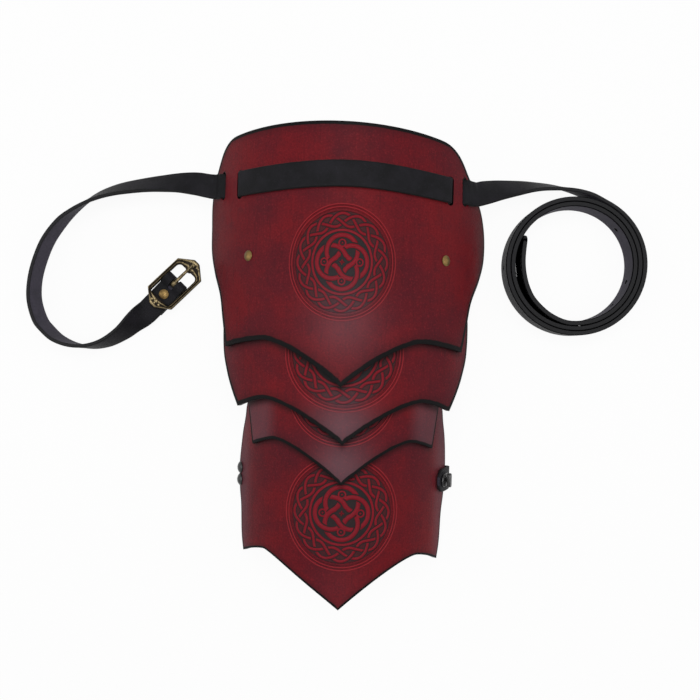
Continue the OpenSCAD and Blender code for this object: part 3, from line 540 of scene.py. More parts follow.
black_metal, tree, surface = finished("black_metal", 0.34, metallic=0.35, coat=0.2)
wear = noise(object_place(tree), 300.0, 5.0, 0.65)
lay_on(surface, blend(step(wear, 0.5, 0.8), shade(16, 16, 17), shade(44, 43, 42)), [(wear, 0.0002, 0.4)])

# %% [markdown]
# ## Measures of the plates
# Each plate is cut flat and then bent round an axis along Y. HIGH_Z is the axis of the cap
# and lame 2, the two high plates, and LOW_Z that of lames 3 and 4, which are bent tighter.
# Both axes lie under the table. These and all later measures are millimetres.

# %% Measures of the plates
PLATE_T, LAP, ARM_T = 4.0, 4.5, 2.6
CAP_R, LAME_3_R = 141.0, 107.5
LAME_2_R, LAME_4_R = CAP_R - LAP, LAME_3_R - LAP
EDGE_4, EDGE_LIFT = 125.5, 1.1
LOW_Z = ARM_T + EDGE_LIFT - (LAME_4_R - PLATE_T) * math.cos(EDGE_4 / LAME_4_R)
HIGH_Z = LOW_Z + LAME_4_R + 3 * LAP - CAP_R
HEM_POWER, CORNER_POWER = 1.57, 1.5
TOP_BOW, CORNER_ROWS, SEAT_GAP = 2.5, 0.16, 0.3
print("axes of the plates at", round(HIGH_Z, 1), "and", round(LOW_Z, 1), "mm")

# %% [markdown]
# ## From flat leather to bent plate
# We start from a flat grid and move each of its points to the cut outline first and then
# round the bend. The first rows share out the round corners at the neck. The tables of half
# widths follow the solids, read with a smooth curve. A few outlines are some millimetres
# fuller, lower or more askew than the solids, as hand-cut leather is.

# %% From flat leather to bent plate
def unit(x):
    """x, kept between 0 and 1."""
    return min(1, max(0, x))


def eased(x):
    """A soft slope from 0 to 1."""
    return x * x * (3 - 2 * x)


def curve(table, x):
    """A smooth curve through the table's points, read at x."""
    i = 0
    while i < len(table) - 2 and x > table[i + 1][0]:
        i += 1

    def slope(k):
        a, b = max(k - 1, 0), min(k + 1, len(table) - 1)
        return (table[b][1] - table[a][1]) / (table[b][0] - table[a][0])

    w = table[i + 1][0] - table[i][0]
    u = (x - table[i][0]) / w
    return (table[i][1] * (1 + 2 * u) * (1 - u) ** 2 + slope(i) * w * u * (1 - u) ** 2
            + table[i + 1][1] * u * u * (3 - 2 * u) + slope(i + 1) * w * u * u * (u - 1))


def hem(s, cut):
    """The lower edge: from the point up to a scallop's peak on each side, and down to the corner."""
    a, peak_w = abs(s), cut["peak_w"]
    fuller = cut.get("full_left", 0) * math.sin(math.pi * unit(-s / peak_w))
    base = cut["point_y"] - cut.get("low_right", 0) * max(0, s) - fuller
    if a <= peak_w:
        return base + cut["rise"] * (1 - (1 - a / peak_w) ** HEM_POWER)
    share = (a - peak_w) / (cut["corner_w"] - peak_w)
    return base + cut["rise"] - cut["drop"] * share ** CORNER_POWER


def bend(s, bend_r, r, axis_z):
    """X and Z of a point s along the plate's outer face, at radius r from the axis."""
    return r * math.sin(s / bend_r), axis_z + r * math.cos(s / bend_r)


def cut_place(u, t, cut):
    """A point of the flat plate: u runs from side to side, t from the neck edge down.

    It gives the place along the bend and along Y, the distance from the edge as a share of
    the dyed border, and the drift, by which a plate is cut askew of its crown."""
    top_y, peak_w, turn = cut["top_y"], cut["peak_w"], cut["turn_r"]
    length = top_y - hem(cut["corner_w"], cut)
    if t < CORNER_ROWS:
        d = turn * (1 - math.cos(math.pi / 2 * t / CORNER_ROWS))
    else:
        d = turn + (length - turn) * (t - CORNER_ROWS) / (1 - CORNER_ROWS)

    def half_at(d):
        d = min(max(d, 0.0), length)
        lost = turn - math.sqrt(max(turn * turn - (turn - d) ** 2, 0)) if d < turn else 0.0
        return curve(cut["sides"], d / length) - lost

    half_w = half_at(d)
    s = half_w * u
    side_bow = TOP_BOW * (half_w / peak_w) ** 2
    low = hem(half_w, cut)
    share = unit((top_y - d - side_bow * (1 - d / length) - low) / (top_y - side_bow - low))
    top = top_y - TOP_BOW * (s / peak_w) ** 2 - cut.get("skew", 0) * s
    y = top * share + hem(s, cut) * (1 - share)
    slant = (half_at(d + 0.5) - half_at(d - 0.5)) / (min(d + 0.5, length) - max(d - 0.5, 0.0))
    tilt = hem(s + 0.5, cut) - hem(s - 0.5, cut)
    to_side = (half_w - abs(s)) / math.sqrt(1 + slant * slant)
    to_hem = (y - hem(s, cut)) / math.sqrt(1 + tilt * tilt)
    border, hem_border = cut["dye"]
    return s, y, min(to_side / border, to_hem / hem_border, (top - y) / border), curve(cut["drift"], d / length)


# %% [markdown]
# The red has painted light and shade laid into it. A painted sheen, pale mauve, stands in
# for soft reflections above a plate's point and down its flanks, and a painted shadow makes
# the leather nearly black under the hem of the plate above. Both masks come from the place
# on the plate.

# %% Painted sheen and hem shadow
def painted_sheen_at(s, y, cut):
    """The painted sheen, in place of pale reflections: most above the point and down the two flanks."""
    point, high, wide, flank, start = cut["painted_sheen"]
    above = (y - cut["point_y"] - high) / wide
    middle = math.exp(-((s / wide) ** 2 + above ** 2))
    side = unit((abs(s) / max(half for _, half in cut["sides"]) - start) / 0.2)
    return point * middle + flank * eased(side)


def painted_hem_shadow_at(s, y, cut):
    """The painted shadow: 1 at the hem of the plate above. It fades out 8 mm below
    the hem, and to a quarter far under the plate."""
    if not cut["above"]:
        return 0.0
    upper = CUTS[cut["above"]]
    across = s - upper["drift"][-1][1]
    below = hem(across, upper) - y
    share = min(unit(1 - (below + 1) / 9), max(0.25, 1 + (below + 3) / 12))
    return eased(share) * unit((upper["corner_w"] + 1 - abs(across)) / 4)


# %% [markdown]
# ## Helpers for pieces
# These few steps end each piece. A sheet gets its thickness, its edges are rounded, and the
# modifiers are settled into plain mesh. At last the piece is smoothed, the solids that it
# stands for are hidden, and it is hung on the empty of the body that it rides on.

# %% Helpers for pieces
def settle(piece):
    shown = piece.evaluated_get(bpy.context.evaluated_depsgraph_get())
    mesh = bpy.data.meshes.new_from_object(shown)
    piece.modifiers.clear()
    piece.data = mesh


def new_piece(name, bm, *materials):
    mesh = bpy.data.meshes.new(name)
    bm.to_mesh(mesh)
    bm.free()
    piece = bpy.data.objects.new(name, mesh)
    for material in materials:
        mesh.materials.append(material)
    scene.collection.objects.link(piece)
    return piece


def smooth(piece, degrees):
    piece.data.shade_smooth()
    piece.data.set_sharp_from_angle(angle=math.radians(degrees))


def thicken(piece, thickness, offset, inner=0, edge=0):
    solid = piece.modifiers.new("thickness", "SOLIDIFY")
    solid.thickness = thickness * MM
    solid.offset = offset
    solid.use_even_offset = True
    solid.material_offset = inner
    solid.material_offset_rim = edge
    return solid


def round_edges(piece, width, segments, clamp=True):
    """The clamp narrows all the rounding where one face is short, so a long strap goes without."""
    bevel = piece.modifiers.new("rounding", "BEVEL")
    bevel.width = width * MM
    bevel.segments = segments
    bevel.limit_method = "ANGLE"
    bevel.angle_limit = math.radians(50)
    bevel.use_clamp_overlap = clamp
    settle(piece)


def hand_over(piece, degrees, body, slot, *nodes):
    smooth(piece, degrees)
    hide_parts(*nodes)
    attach(piece, body)
    print(piece.name, "has", len(piece.data.polygons), "faces and rides on", body)


# %% [markdown]
# ## The four plates
# Each plate has its own measures: half widths down its sides, the point and the two scallop
# peaks of its lower edge, and the middle of its roundel.

# %% The four plates
PLATE_COLUMNS, PLATE_ROWS = 110, 90
EVEN = [(0, 0), (1, 0)]
CUTS = {
    # The painted sheen of each plate: its strength above the point, its height and width there, its strength on the
    # flanks and where they begin.
    "cap": dict(bend_r=CAP_R, axis_z=HIGH_Z, top_y=307, point_y=86.5, rise=38, peak_w=71, drop=6.6,
                corner_w=119.5, turn_r=34, medal=(-4, 190, 107), dye=(2.9, 4.0), skew=0.024,
                above="", painted_sheen=(0.55, 53, 30, 0.0, 0.72),
                sides=[(0, 133), (0.1, 135.3), (0.17, 145.3), (0.27, 158.5), (0.38, 163.2), (0.5, 161.7),
                       (0.62, 149.2), (0.74, 134), (0.86, 127), (1, 119.5)],
                drift=[(0, -13.2), (0.17, -10.8), (0.27, -5.4), (0.38, 0), (0.5, 0), (0.7, -1.5), (1, -2.5)]),
    "lame_2": dict(bend_r=LAME_2_R, axis_z=HIGH_Z, top_y=172, point_y=38, rise=35.8, peak_w=71, drop=8.2,
                   corner_w=103.7, turn_r=22, medal=(0, 114, 95), dye=(2.4, 3.4),
                   above="cap", painted_sheen=(1.0, 15, 25, 0.1, 0.72),
                   sides=[(0, 127), (0.2, 131), (0.5, 129.5), (0.7, 122), (0.85, 113.7), (1, 103.7)], drift=EVEN),
    "lame_3": dict(bend_r=LAME_3_R, axis_z=LOW_Z, top_y=142, point_y=3.5, rise=35.4, peak_w=62.5, drop=7.2,
                   corner_w=90.5, turn_r=22, medal=(-0.7, 84.6, 100), dye=(1.5, 2.5),
                   above="lame_2", painted_sheen=(1.0, 15, 25, 0.6, 0.56),
                   sides=[(0, 97), (0.25, 101), (0.6, 100), (0.8, 95.5), (1, 90.5)], drift=EVEN),
    "lame_4": dict(bend_r=LAME_4_R, axis_z=LOW_Z, top_y=79, point_y=-103, rise=43.8, peak_w=73, drop=9,
                   corner_w=106.9, turn_r=14, medal=(1, -20.9, 98), dye=(1.4, 1.8),
                   above="lame_3", painted_sheen=(0.1, 17, 26, 0.55, 0.7),
                   sides=[(0, 110), (0.12, 112), (0.24, 119), (0.37, 124), (0.46, EDGE_4), (0.6, 122),
                          (0.71, 116), (0.9, 112), (1, 106.9)],
                   drift=[(0, 3), (0.3, 3), (0.5, 0.5), (0.6, 0), (1, 0)], full_left=3.2, low_right=0.03),
}
print("lengths:", {name: cut["top_y"] - cut["point_y"] for name, cut in CUTS.items()})

# %% [markdown]
# A plate is a grid bent round its axis. It gets its thickness inwards, with the flesh side
# inside and the burnished edge all round.

# %% Bending a plate
def bent_plate(name, cut):
    bm = bmesh.new()
    bmesh.ops.create_grid(bm, x_segments=PLATE_COLUMNS, y_segments=PLATE_ROWS, size=1)
    chart = bm.loops.layers.uv.new("tooling")
    rim, painted_sheen, painted_hem_shadow = (bm.verts.layers.float.new(mask) for mask in ("rim", "painted_sheen", "painted_hem_shadow"))
    flat = {}
    for v in bm.verts:
        s, y, v[rim], drift = cut_place(v.co.x, (1 - v.co.y) / 2, cut)
        s += drift
        # The painted sheen and the painted shadow under the hem above are stored for each point.
        v[painted_sheen] = painted_sheen_at(s, y, cut)
        v[painted_hem_shadow] = painted_hem_shadow_at(s, y, cut)
        flat[v] = (s, y)
        x, z = bend(s, cut["bend_r"], cut["bend_r"], cut["axis_z"])
        v.co = Vector((x, y, z)) * MM
    middle_s, middle_y, narrow = cut["medal"]
    for face in bm.faces:
        for loop in face.loops:
            s, y = flat[loop.vert]
            loop[chart].uv = ((s - middle_s) / 1e4 * narrow, (y - middle_y) / 100)
    piece = new_piece(name, bm, red_leather, flesh_side, burnished_edge)
    thicken(piece, PLATE_T, -1, inner=1, edge=2)
    return piece


# %% [markdown]
# The cap is the only plate with slits, two on each side, which cutters with round ends take
# out. The edges are rounded after that, so that the slits get soft edges too.

# %% Slits and soft edges
def plate_matrix(s, y, cut, r):
    """The tangent plane at arc length s: +Z points out of the leather."""
    return (Matrix.Translation(Vector((0, y, cut["axis_z"])) * MM)
            @ Matrix.Rotation(s / cut["bend_r"], 4, "Y") @ Matrix.Translation((0, 0, r * MM)))


def slot_cutter(places, length, width, depth, segments=24):
    """Slots with round ends. A slot as long as it is wide is a round hole."""
    bm = bmesh.new()
    for matrix in places:
        made = bmesh.ops.create_cone(bm, cap_ends=True, segments=segments, radius1=width / 2 * MM,
                                     radius2=width / 2 * MM, depth=depth * MM)["verts"]
        for v in made:
            if abs(v.co.y) > 1e-7:
                v.co.y += math.copysign((length - width) / 2 * MM, v.co.y)
        bmesh.ops.transform(bm, matrix=matrix, verts=made)
    return new_piece("cutter", bm)


def cut_out(piece, cutter):
    tool = piece.modifiers.new("cut", "BOOLEAN")
    tool.operation = "DIFFERENCE"
    tool.solver = "EXACT"
    tool.object = cutter
    settle(piece)
    bpy.data.objects.remove(cutter)


SLITS = [(-133, 263.5), (-105.8, 260.5), (96, 258), (116, 260.5)]
SLIT_L, SLIT_W = 25, 7.4
plates = {name: bent_plate(name + "_plate", cut) for name, cut in CUTS.items()}
places = [plate_matrix(s, y, CUTS["cap"], CAP_R) for s, y in SLITS]
cut_out(plates["cap"], slot_cutter(places, SLIT_L, SLIT_W, 4 * PLATE_T))
for name, piece in plates.items():
    round_edges(piece, 1.3, 4)
    hand_over(piece, 40, name, "red_leather", name)

# %% [markdown]
# ## A strap along a path
# A leather strap is a flat band swept along its route. The route gives, for each place, a
# point and the direction across the strap. A grid is laid along it, gets its thickness from
# a modifier, and its long edges are rounded. The coil's leather is swollen by a third, so
# that its turns touch. The coil's places lie four degrees apart. Its outer face is covered
# from the 72nd place on, where the strap passes inside its own run, and its inner face up
# to the 122nd, where the innermost turn begins.

# %% A strap along a path
STRAP_COLUMNS = 6
COVERED_FROM, COVERED_TO = 72, 122


def swept_strap(name, path, width, thickness, tip, coil_from=0, full=1.0):
    """path holds pairs of a point and the direction across, in millimetres, and tip is the
    length of the rounded end. From coil_from on, the leather is full times as thick."""
    points = [Vector(p) for p, a in path]
    lengths = [0.0]
    for a, b in zip(points, points[1:]):
        lengths.append(lengths[-1] + (b - a).length)
    bm = bmesh.new()
    bmesh.ops.create_grid(bm, x_segments=len(path) - 1, y_segments=STRAP_COLUMNS, size=1)
    chart = bm.loops.layers.uv.new("strap")
    rim, wound, covered_out, covered_in = (
        bm.verts.layers.float.new(mask) for mask in ("rim", "wound", "covered_out", "covered_in"))
    swell = bm.verts.layers.deform.new("swell")
    for v in bm.verts:
        i = round((v.co.x + 1) / 2 * (len(path) - 1))
        if full > 1:
            wound_on = i - coil_from
            v[wound] = unit(wound_on / 12)
            v[covered_out] = unit((wound_on - COVERED_FROM) / 8)
            v[covered_in] = unit(wound_on / 6) * unit((COVERED_TO - wound_on) / 8)
        v[swell][0] = (1 + (full - 1) * v[wound]) / full
        side = v.co.y
        left = lengths[-1] - lengths[i]
        narrow = math.sqrt(max(0.16, 1 - (1 - left / tip) ** 2)) if left < tip else 1.0
        v[rim] = (1 - abs(side)) * width / 2
        v.co = (points[i] + Vector(path[i][1]) * side * width / 2 * narrow) * MM
    for face in bm.faces:
        for loop in face.loops:
            loop[chart].uv = (loop.vert[rim] / 100, loop.vert.co.length * 10)
    piece = new_piece(name, bm, strap_back, black_leather)
    piece.vertex_groups.new(name="swell")
    thicken(piece, thickness * full, 0, inner=1).vertex_group = "swell"
    print(name, "is", round(lengths[-1]), "mm long")
    return piece


# %% [markdown]
# ## The neck strap on the cap
# The neck strap is one piece of leather. From its folded end at the buckle it runs in a
# loop to the cap, passes in and out of the slits, crosses the crown, leaves on the other
# side, turns on edge and winds up in a coil. On the cap its route is bent with the plate:
# it lies on top, dips through the inner slit and comes up through the outer one.

# %% The neck strap on the cap
NECK_W, NECK_T = 22.0, 3.3
SLIT_BEND = 2.2
OVER_R = CAP_R + SEAT_GAP + NECK_T / 2
UNDER_R = CAP_R - PLATE_T - SEAT_GAP - NECK_T / 2
LEFT_Y, RIGHT_Y = SLITS[0][1], SLITS[-1][1]
PAST_SLIT = 7


def on_cap(s, r):
    return Vector(bend(s, CAP_R, r, HIGH_Z))


def rounded(p, q, r, radius):
    """Seven points round the corner q between p and r."""
    a, b = (p - q).normalized(), (r - q).normalized()
    half = a.angle(b) / 2
    side = math.copysign(1, a.x * b.y - a.y * b.x)
    middle = q + (a + b).normalized() * radius / math.sin(half)
    start = q + a * radius / math.tan(half) - middle
    sweep = -side * (math.pi - 2 * half)
    return [Matrix.Rotation(sweep * i / 6, 2) @ start + middle for i in range(7)]


def through_slit(s, r_in, r_out):
    """Within 2 mm of the slit's middle the strap changes from one radius to the other."""
    corners = [on_cap(s - 6, r_in), on_cap(s - 2, r_in), on_cap(s + 2, r_out), on_cap(s + 6, r_out)]
    return rounded(*corners[:3], SLIT_BEND) + rounded(*corners[1:], SLIT_BEND)


def half_crossing(inner_s, outer_s):
    """From the crown over the cap, in at the inner slit, out at the outer one and a bit on."""
    first, last = inner_s + 5, outer_s - 5
    out = [on_cap((inner_s - 2) * 0.97 * i / 30, OVER_R) for i in range(31)]
    out += through_slit(inner_s, OVER_R, UNDER_R)
    out += [on_cap(first + (last - first) * i / 5, UNDER_R) for i in range(6)]
    out += through_slit(outer_s, UNDER_R, OVER_R)
    return out + [on_cap(outer_s + PAST_SLIT, OVER_R)]


left_half = [Vector((-p.x, p.y)) for p in half_crossing(-SLITS[1][0], -SLITS[0][0])]
right_half = half_crossing(SLITS[2][0], SLITS[3][0])
EXIT_L, EXIT_R = left_half[-1], right_half[-1]
slit_line = [(bend(s, CAP_R, CAP_R - 2, HIGH_Z)[0], y) for s, y in SLITS]
neck_line = [(EXIT_L.x, LEFT_Y), *slit_line[:2], (0, 263), *slit_line[2:], (EXIT_R.x, RIGHT_Y)]
print("the strap leaves the cap", round(EXIT_L.y), "and", round(EXIT_R.y), "mm above the table")

# %% [markdown]
# ## Loop, coil and free end
# Off the cap the strap lies as it fell. Each knot of a route is a place in millimetres and
# the strap's roll in degrees: 0 is flat, and 90 either way is on edge. The coil is a spiral
# on edge, each turn 4.5 mm inside the last one. The free end sags inwards from it and leans
# over.

# %% Loop, coil and free end
TURN = math.radians(47)
BUCKLE = Vector((-162, 175.5, 0))
TAIL_T, FOLD_R = 0.8, 2.3
BAR_Z = TAIL_T + NECK_T + FOLD_R
TOP_Z = TAIL_T + 1.5 * NECK_T + 0.1
FLAT_Z = NECK_W / 2 + 0.1
COIL = Vector((209.8, 201.3, FLAT_Z))
COIL_R, PITCH, START, SWEEP = 64.8, 4.5, 65, 864


def coil_at(turn):
    r = COIL_R - PITCH * turn / 360
    a = math.radians(START - turn)
    return COIL + Vector((r * math.cos(a), r * math.sin(a), 0))


def along_chape(x, z):
    return BUCKLE + Vector((x * math.cos(TURN), x * math.sin(TURN), z))


JOINT = along_chape(-36, TOP_Z)
buckle_route = [
    (EXIT_L.x, LEFT_Y, EXIT_L.y, 0), (-124.5, 263.9, 22, 0), (-131, 265.4, 19.6, 2), (-142, 267.7, 16.4, 11),
    (-157, 269, 13.6, 27), (-173, 268.4, 11.6, 38), (-189, 266.8, 11, 46), (-208, 263.6, 11.1, 52),
    (-221, 260.4, 11.2, 57), (-233.5, 255.8, 11.2, 63), (-245, 249.5, 11.2, 71), (-257, 240.6, 11.2, 81),
    (-267.8, 230, 11.2, 90), (-279.5, 213, 11.2, 94), (-287, 194, 11.2, 95), (-291.2, 175, 11.2, 95),
    (-291.2, 156.5, 11.2, 97), (-285.8, 139, 11, 100), (-278.8, 130, FLAT_Z, 101), (-268.5, 121.2, FLAT_Z, 99),
    (-254, 115.6, 11.1, 93), (-238.5, 114.6, 11.2, 85), (-223, 118.8, 11.1, 76), (-208.5, 128, 10.8, 64),
    (-197.6, 138.8, 9.2, 44), (JOINT.x, JOINT.y, TOP_Z, 0),
]
first_turn = coil_at(0)
tail_route = [
    (EXIT_R.x, RIGHT_Y, EXIT_R.y, 0), (115.5, 260.9, 32.5, -1), (123.5, 263.8, 27.3, -5), (138, 268.7, 18.8, -26),
    (157, 272.9, 11.7, -46), (174.7, 274.5, 11.1, -62), (190, 274.3, 11.1, -70), (201, 273.1, 11.1, -76),
    (213, 270.6, 11.1, -83), (225, 266.5, FLAT_Z, -88), (first_turn.x, first_turn.y, FLAT_Z, -90),
]
end_route = [(COIL.x + x, COIL.y + y, FLAT_Z, roll) for x, y, roll in
             ((-6.5, -53.3, 90), (-23.2, -46.1, 92), (-36.9, -33.6, 99), (-43.4, -21.9, 110), (-46.7, -10.2, 118),
              (-48, 0.5, 119), (-47.8, 10.5, 115), (-46.8, 20.8, 109), (-45.8, 26.7, 105))]
print("knots:", len(buckle_route) + len(tail_route) + len(end_route), "coil:", round(SWEEP / 360, 1), "turns")

# %% [markdown]
# A smooth curve goes through all the knots. Its direction at a knot comes from the two
# neighbours, so each route gets one more knot at both ends, and place and roll are smoothed
# as one.

# %% A smooth curve through the knots
UP = Vector((0, 0, 1))


def ribbon(route, before, after, steps=8):
    """A smooth curve through the route, with the strap's roll at each place."""
    knots = [Vector(p) for p in [before] + route + [after]]
    line = []
    for i in range(1, len(knots) - 2):
        a, b, c, d = knots[i - 1:i + 3]
        for k in range(steps):
            u = k / steps
            line.append(b + 0.5 * u * (c - a + u * (2 * a - 5 * b + 4 * c - d + u * (3 * (b - c) + d - a))))
    line.append(knots[-2])
    out = []
    for i, p in enumerate(line):
        ahead = line[min(i + 1, len(line) - 1)] - line[max(i - 1, 0)]
        along = ahead.xyz.normalized()
        side = UP.cross(along).normalized()
        roll = math.radians(p.w)
        out.append((p.xyz, side * math.cos(roll) + along.cross(side) * math.sin(roll)))
    return out


def before_exit(end, outer_s, y):
    """A knot on the cap before an exit, which gives the curve its direction there."""
    turn = (outer_s + PAST_SLIT) / CAP_R
    return end.x - math.copysign(12 * math.cos(turn), end.x), y, end.y + 12 * math.sin(turn), 0


entry = before_exit(EXIT_L, -SLITS[0][0], LEFT_Y)
leave = before_exit(EXIT_R, SLITS[3][0], RIGHT_Y)
past_joint = (JOINT.x + 8 * math.cos(TURN), JOINT.y + 8 * math.sin(TURN), TOP_Z, 0)
start_a = math.radians(START)
past_coil = (first_turn.x + 8 * math.sin(start_a), first_turn.y - 8 * math.cos(start_a), FLAT_Z, -90)

# %% [markdown]
# Now the stretches are joined to one path: the folded end round the buckle's bar, the loop,
# the crossing, the tail, the coil and the free end. The strap's front has to face the same
# way all along, so a direction that flips over is turned back.

# %% The whole neck strap
COIL_SWELL = 1.33
low_z, high_z = TAIL_T + NECK_T / 2, BAR_Z + FOLD_R + NECK_T / 2
fold = FOLD_R + NECK_T / 2
chape = [(x, low_z) for x in (-31, -26, -20, -14, -8, -2)]
for degrees in range(-90, 91, 12):
    a = math.radians(degrees)
    chape.append((fold * math.cos(a), BAR_Z + fold * math.sin(a)))
chape += [(-8.6 * i / 8, high_z + (TOP_Z - high_z) * eased(i / 8)) for i in range(1, 9)]
chape += [(x, TOP_Z) for x in (-14, -20, -27, -33)]
across_chape = Vector((-math.sin(TURN), math.cos(TURN), 0))
route = [(along_chape(x, z), across_chape) for x, z in chape]
route += list(reversed(ribbon(buckle_route, entry, past_joint)))
crossing = list(reversed(left_half[1:-1])) + right_half[:-1]
route += [(Vector((p.x, curve(neck_line, p.x), p.y)), Vector((0, -1, 0))) for p in crossing]
route += [(p, -a) for p, a in ribbon(tail_route, leave, past_coil)]
coil_from = len(route)
route += [(coil_at(turn), UP) for turn in range(5, SWEEP + 1, 4)]
free_end = ribbon([(*coil_at(SWEEP), 90)] + end_route, (*coil_at(SWEEP - 10), 90), end_route[-1], 4)
route += [(p, UP) for p, a in free_end[1:]]
for i in range(1, len(route)):
    if route[i][1].dot(route[i - 1][1]) < 0:
        route[i] = (route[i][0], -route[i][1])
neck_strap = swept_strap("neck_strap", route, NECK_W, NECK_T, 7, coil_from, COIL_SWELL)
round_edges(neck_strap, 0.9, 3, clamp=False)

# %% [markdown]
# The folded end has a slot for the tongue, and in the coil there are six small round holes,
# given by their angle. Both are cut after the strap has its thickness and its rounded edges.

# %% Slot and holes of the neck strap
STRAP_HOLES = (242, 744, 800, 828, 856, 884)
HOLE_D, TONGUE_SLOT = 4, (20, 5.4, 20)
at_buckle = Matrix.Translation(BUCKLE * MM) @ Matrix.Rotation(TURN, 4, "Z")
for x, z in ((3, BAR_Z + 10), (6.24, 9)):
    bm = bmesh.new()
    bmesh.ops.create_cube(bm, size=1)
    bmesh.ops.scale(bm, vec=Vector(TONGUE_SLOT) * MM, verts=bm.verts)
    bmesh.ops.transform(bm, matrix=at_buckle @ Matrix.Translation(Vector((x, 0, z)) * MM), verts=bm.verts)
    cut_out(neck_strap, new_piece("cutter", bm))
holes = [Matrix.Translation(coil_at(turn) * MM) @ Matrix.Rotation(math.radians(START - turn), 4, "Z")
         @ Matrix.Rotation(math.pi / 2, 4, "Y") for turn in STRAP_HOLES]
cut_out(neck_strap, slot_cutter(holes, HOLE_D, HOLE_D, 5, segments=20))
hand_over(neck_strap, 50, "cap", "black_leather", "neck_strap_crossing", "neck_strap_buckle_run",
          "neck_strap_tail_run", "neck_strap_coil", "neck_chape")

# %% [markdown]
# ## Lofting rings
# Cast and turned metal parts are lofts: rings of points that are bridged one to the next.
# Each ring starts as a circle and is moved to its outline. A turned rivet head uses round
# rings, and the buckle's frame uses rings that follow its outline inwards over a moulding.

# %% Lofting rings
def loft(bm, rings, count, closed=False):
    """rings are functions of an angle that give a point in millimetres and a ridge value."""
    ridge = bm.verts.layers.float.get("ridge") or bm.verts.layers.float.new("ridge")
    made = []
    for ring in rings:
        verts = bmesh.ops.create_circle(bm, cap_ends=False, segments=count, radius=1)["verts"]
        for v in verts:
            point, value = ring(math.atan2(v.co.y, v.co.x))
            v.co = Vector(point) * MM
            v[ridge] = value
        made.append(verts)
    loops = [list({e for v in verts for e in v.link_edges}) for verts in made]
    for a, b in list(zip(loops, loops[1:])) + ([(loops[-1], loops[0])] if closed else []):
        bmesh.ops.bridge_loops(bm, edges=a + b)
    if not closed:
        for verts in (made[0], made[-1]):
            bmesh.ops.contextual_create(bm, geom=verts)
    bmesh.ops.recalc_face_normals(bm, faces=bm.faces)
    return [v for verts in made for v in verts]


def turned(profile):
    """Round rings for a lathe profile of radius, height and ridge value."""
    def ring(r, z, value):
        return lambda a: ((r * math.cos(a), r * math.sin(a), z), value)
    return [ring(*row) for row in profile]


def head(radius, height):
    """The profile of a domed head, from its rim up to the middle."""
    rim_z = height * 0.3
    rise = height - rim_z
    ball = (radius * radius + rise * rise) / (2 * rise)
    out = [(radius * 0.9, 0, 0.0), (radius, rim_z * 0.4, 0.1), (radius, rim_z, 0.3)]
    for i in range(7, 0, -1):
        r = radius * i / 7.5
        out.append((r, rim_z + rise - ball + math.sqrt(ball * ball - r * r), 1.0))
    return out


# %% [markdown]
# ## Rivets
# Two brass caps hold the inner straps to the cap, and one sits on the folded strap end. The
# lames' own rivets hide under the plates above them, where two pairs are sunk. Two black
# domes hold the arm strap.

# %% Rivets
HINGE_W, HINGE_T = 20.0, 2.5
RIVET_AT = {"cap": (92, 197), "lame_2": (82, 160), "lame_3": (74, 131), "lame_4": (66, 66)}
HEAD_R, HEAD_H, SUNK_H, SUNK = 4.6, 1.9, 1.1, 1.3
TAIL_Z = -PLATE_T - 2 * SEAT_GAP - HINGE_T
DOME_R, DOME_H, DOME_IN, DOME_APART = 5.4, 3.3, 6.9, 11.2
METALS = {"brass": cap_brass, "black_metal": black_metal}


def rivets(name, node, body, slot, places, radius, height, tail_z, tail_r=4):
    bm = bmesh.new()
    for matrix in places:
        made = loft(bm, turned(head(radius, height)), 40)
        made += loft(bm, turned([(1.5, 0.2, 0), (1.5, tail_z, 0)]), 20)
        made += loft(bm, turned([(r, tail_z - z, value) for r, z, value in head(tail_r, 1.33)]), 32)
        bmesh.ops.transform(bm, matrix=matrix, verts=list(set(made)))
    bmesh.ops.recalc_face_normals(bm, faces=bm.faces)
    hand_over(new_piece(name, bm, METALS[slot]), 50, body, slot, node)


for name, (s, y) in RIVET_AT.items():
    sunk = name in ("lame_2", "lame_4")
    lift, height, tail_z = (-SUNK, SUNK_H, TAIL_Z + SUNK) if sunk else (0.1, HEAD_H, TAIL_Z)
    places = [plate_matrix(side * s, y, CUTS[name], CUTS[name]["bend_r"] + lift) for side in (-1, 1)]
    rivets(name + "_rivet_heads", name + "_rivets", name, "brass", places, HEAD_R, height, tail_z)
domes = [plate_matrix(DOME_IN - EDGE_4, side * DOME_APART / 2, CUTS["lame_4"], LAME_4_R + 0.1) for side in (-1, 1)]
rivets("arm_rivet_domes", "arm_strap_rivets", "lame_4", "black_metal", domes, DOME_R, DOME_H,
       -PLATE_T - 2 * SEAT_GAP - ARM_T)
stack = TAIL_T + 2 * NECK_T + 0.2
rivets("chape_rivet_head", "neck_chape_rivet", "cap", "brass",
       [at_buckle @ Matrix.Translation((-0.014, 0, stack * MM))], HEAD_R, HEAD_H, -stack + 1.45, 1.6)

# %% [markdown]
# ## The neck buckle
# The frame is a long hexagon with two carved gable ends. Its moulding is a raised outer
# border, a groove and a smaller inner ridge. The rings run from the outer outline to the
# window, and each stores its height as wear, so the ridges come out bright. Small beads sit
# on the gables.

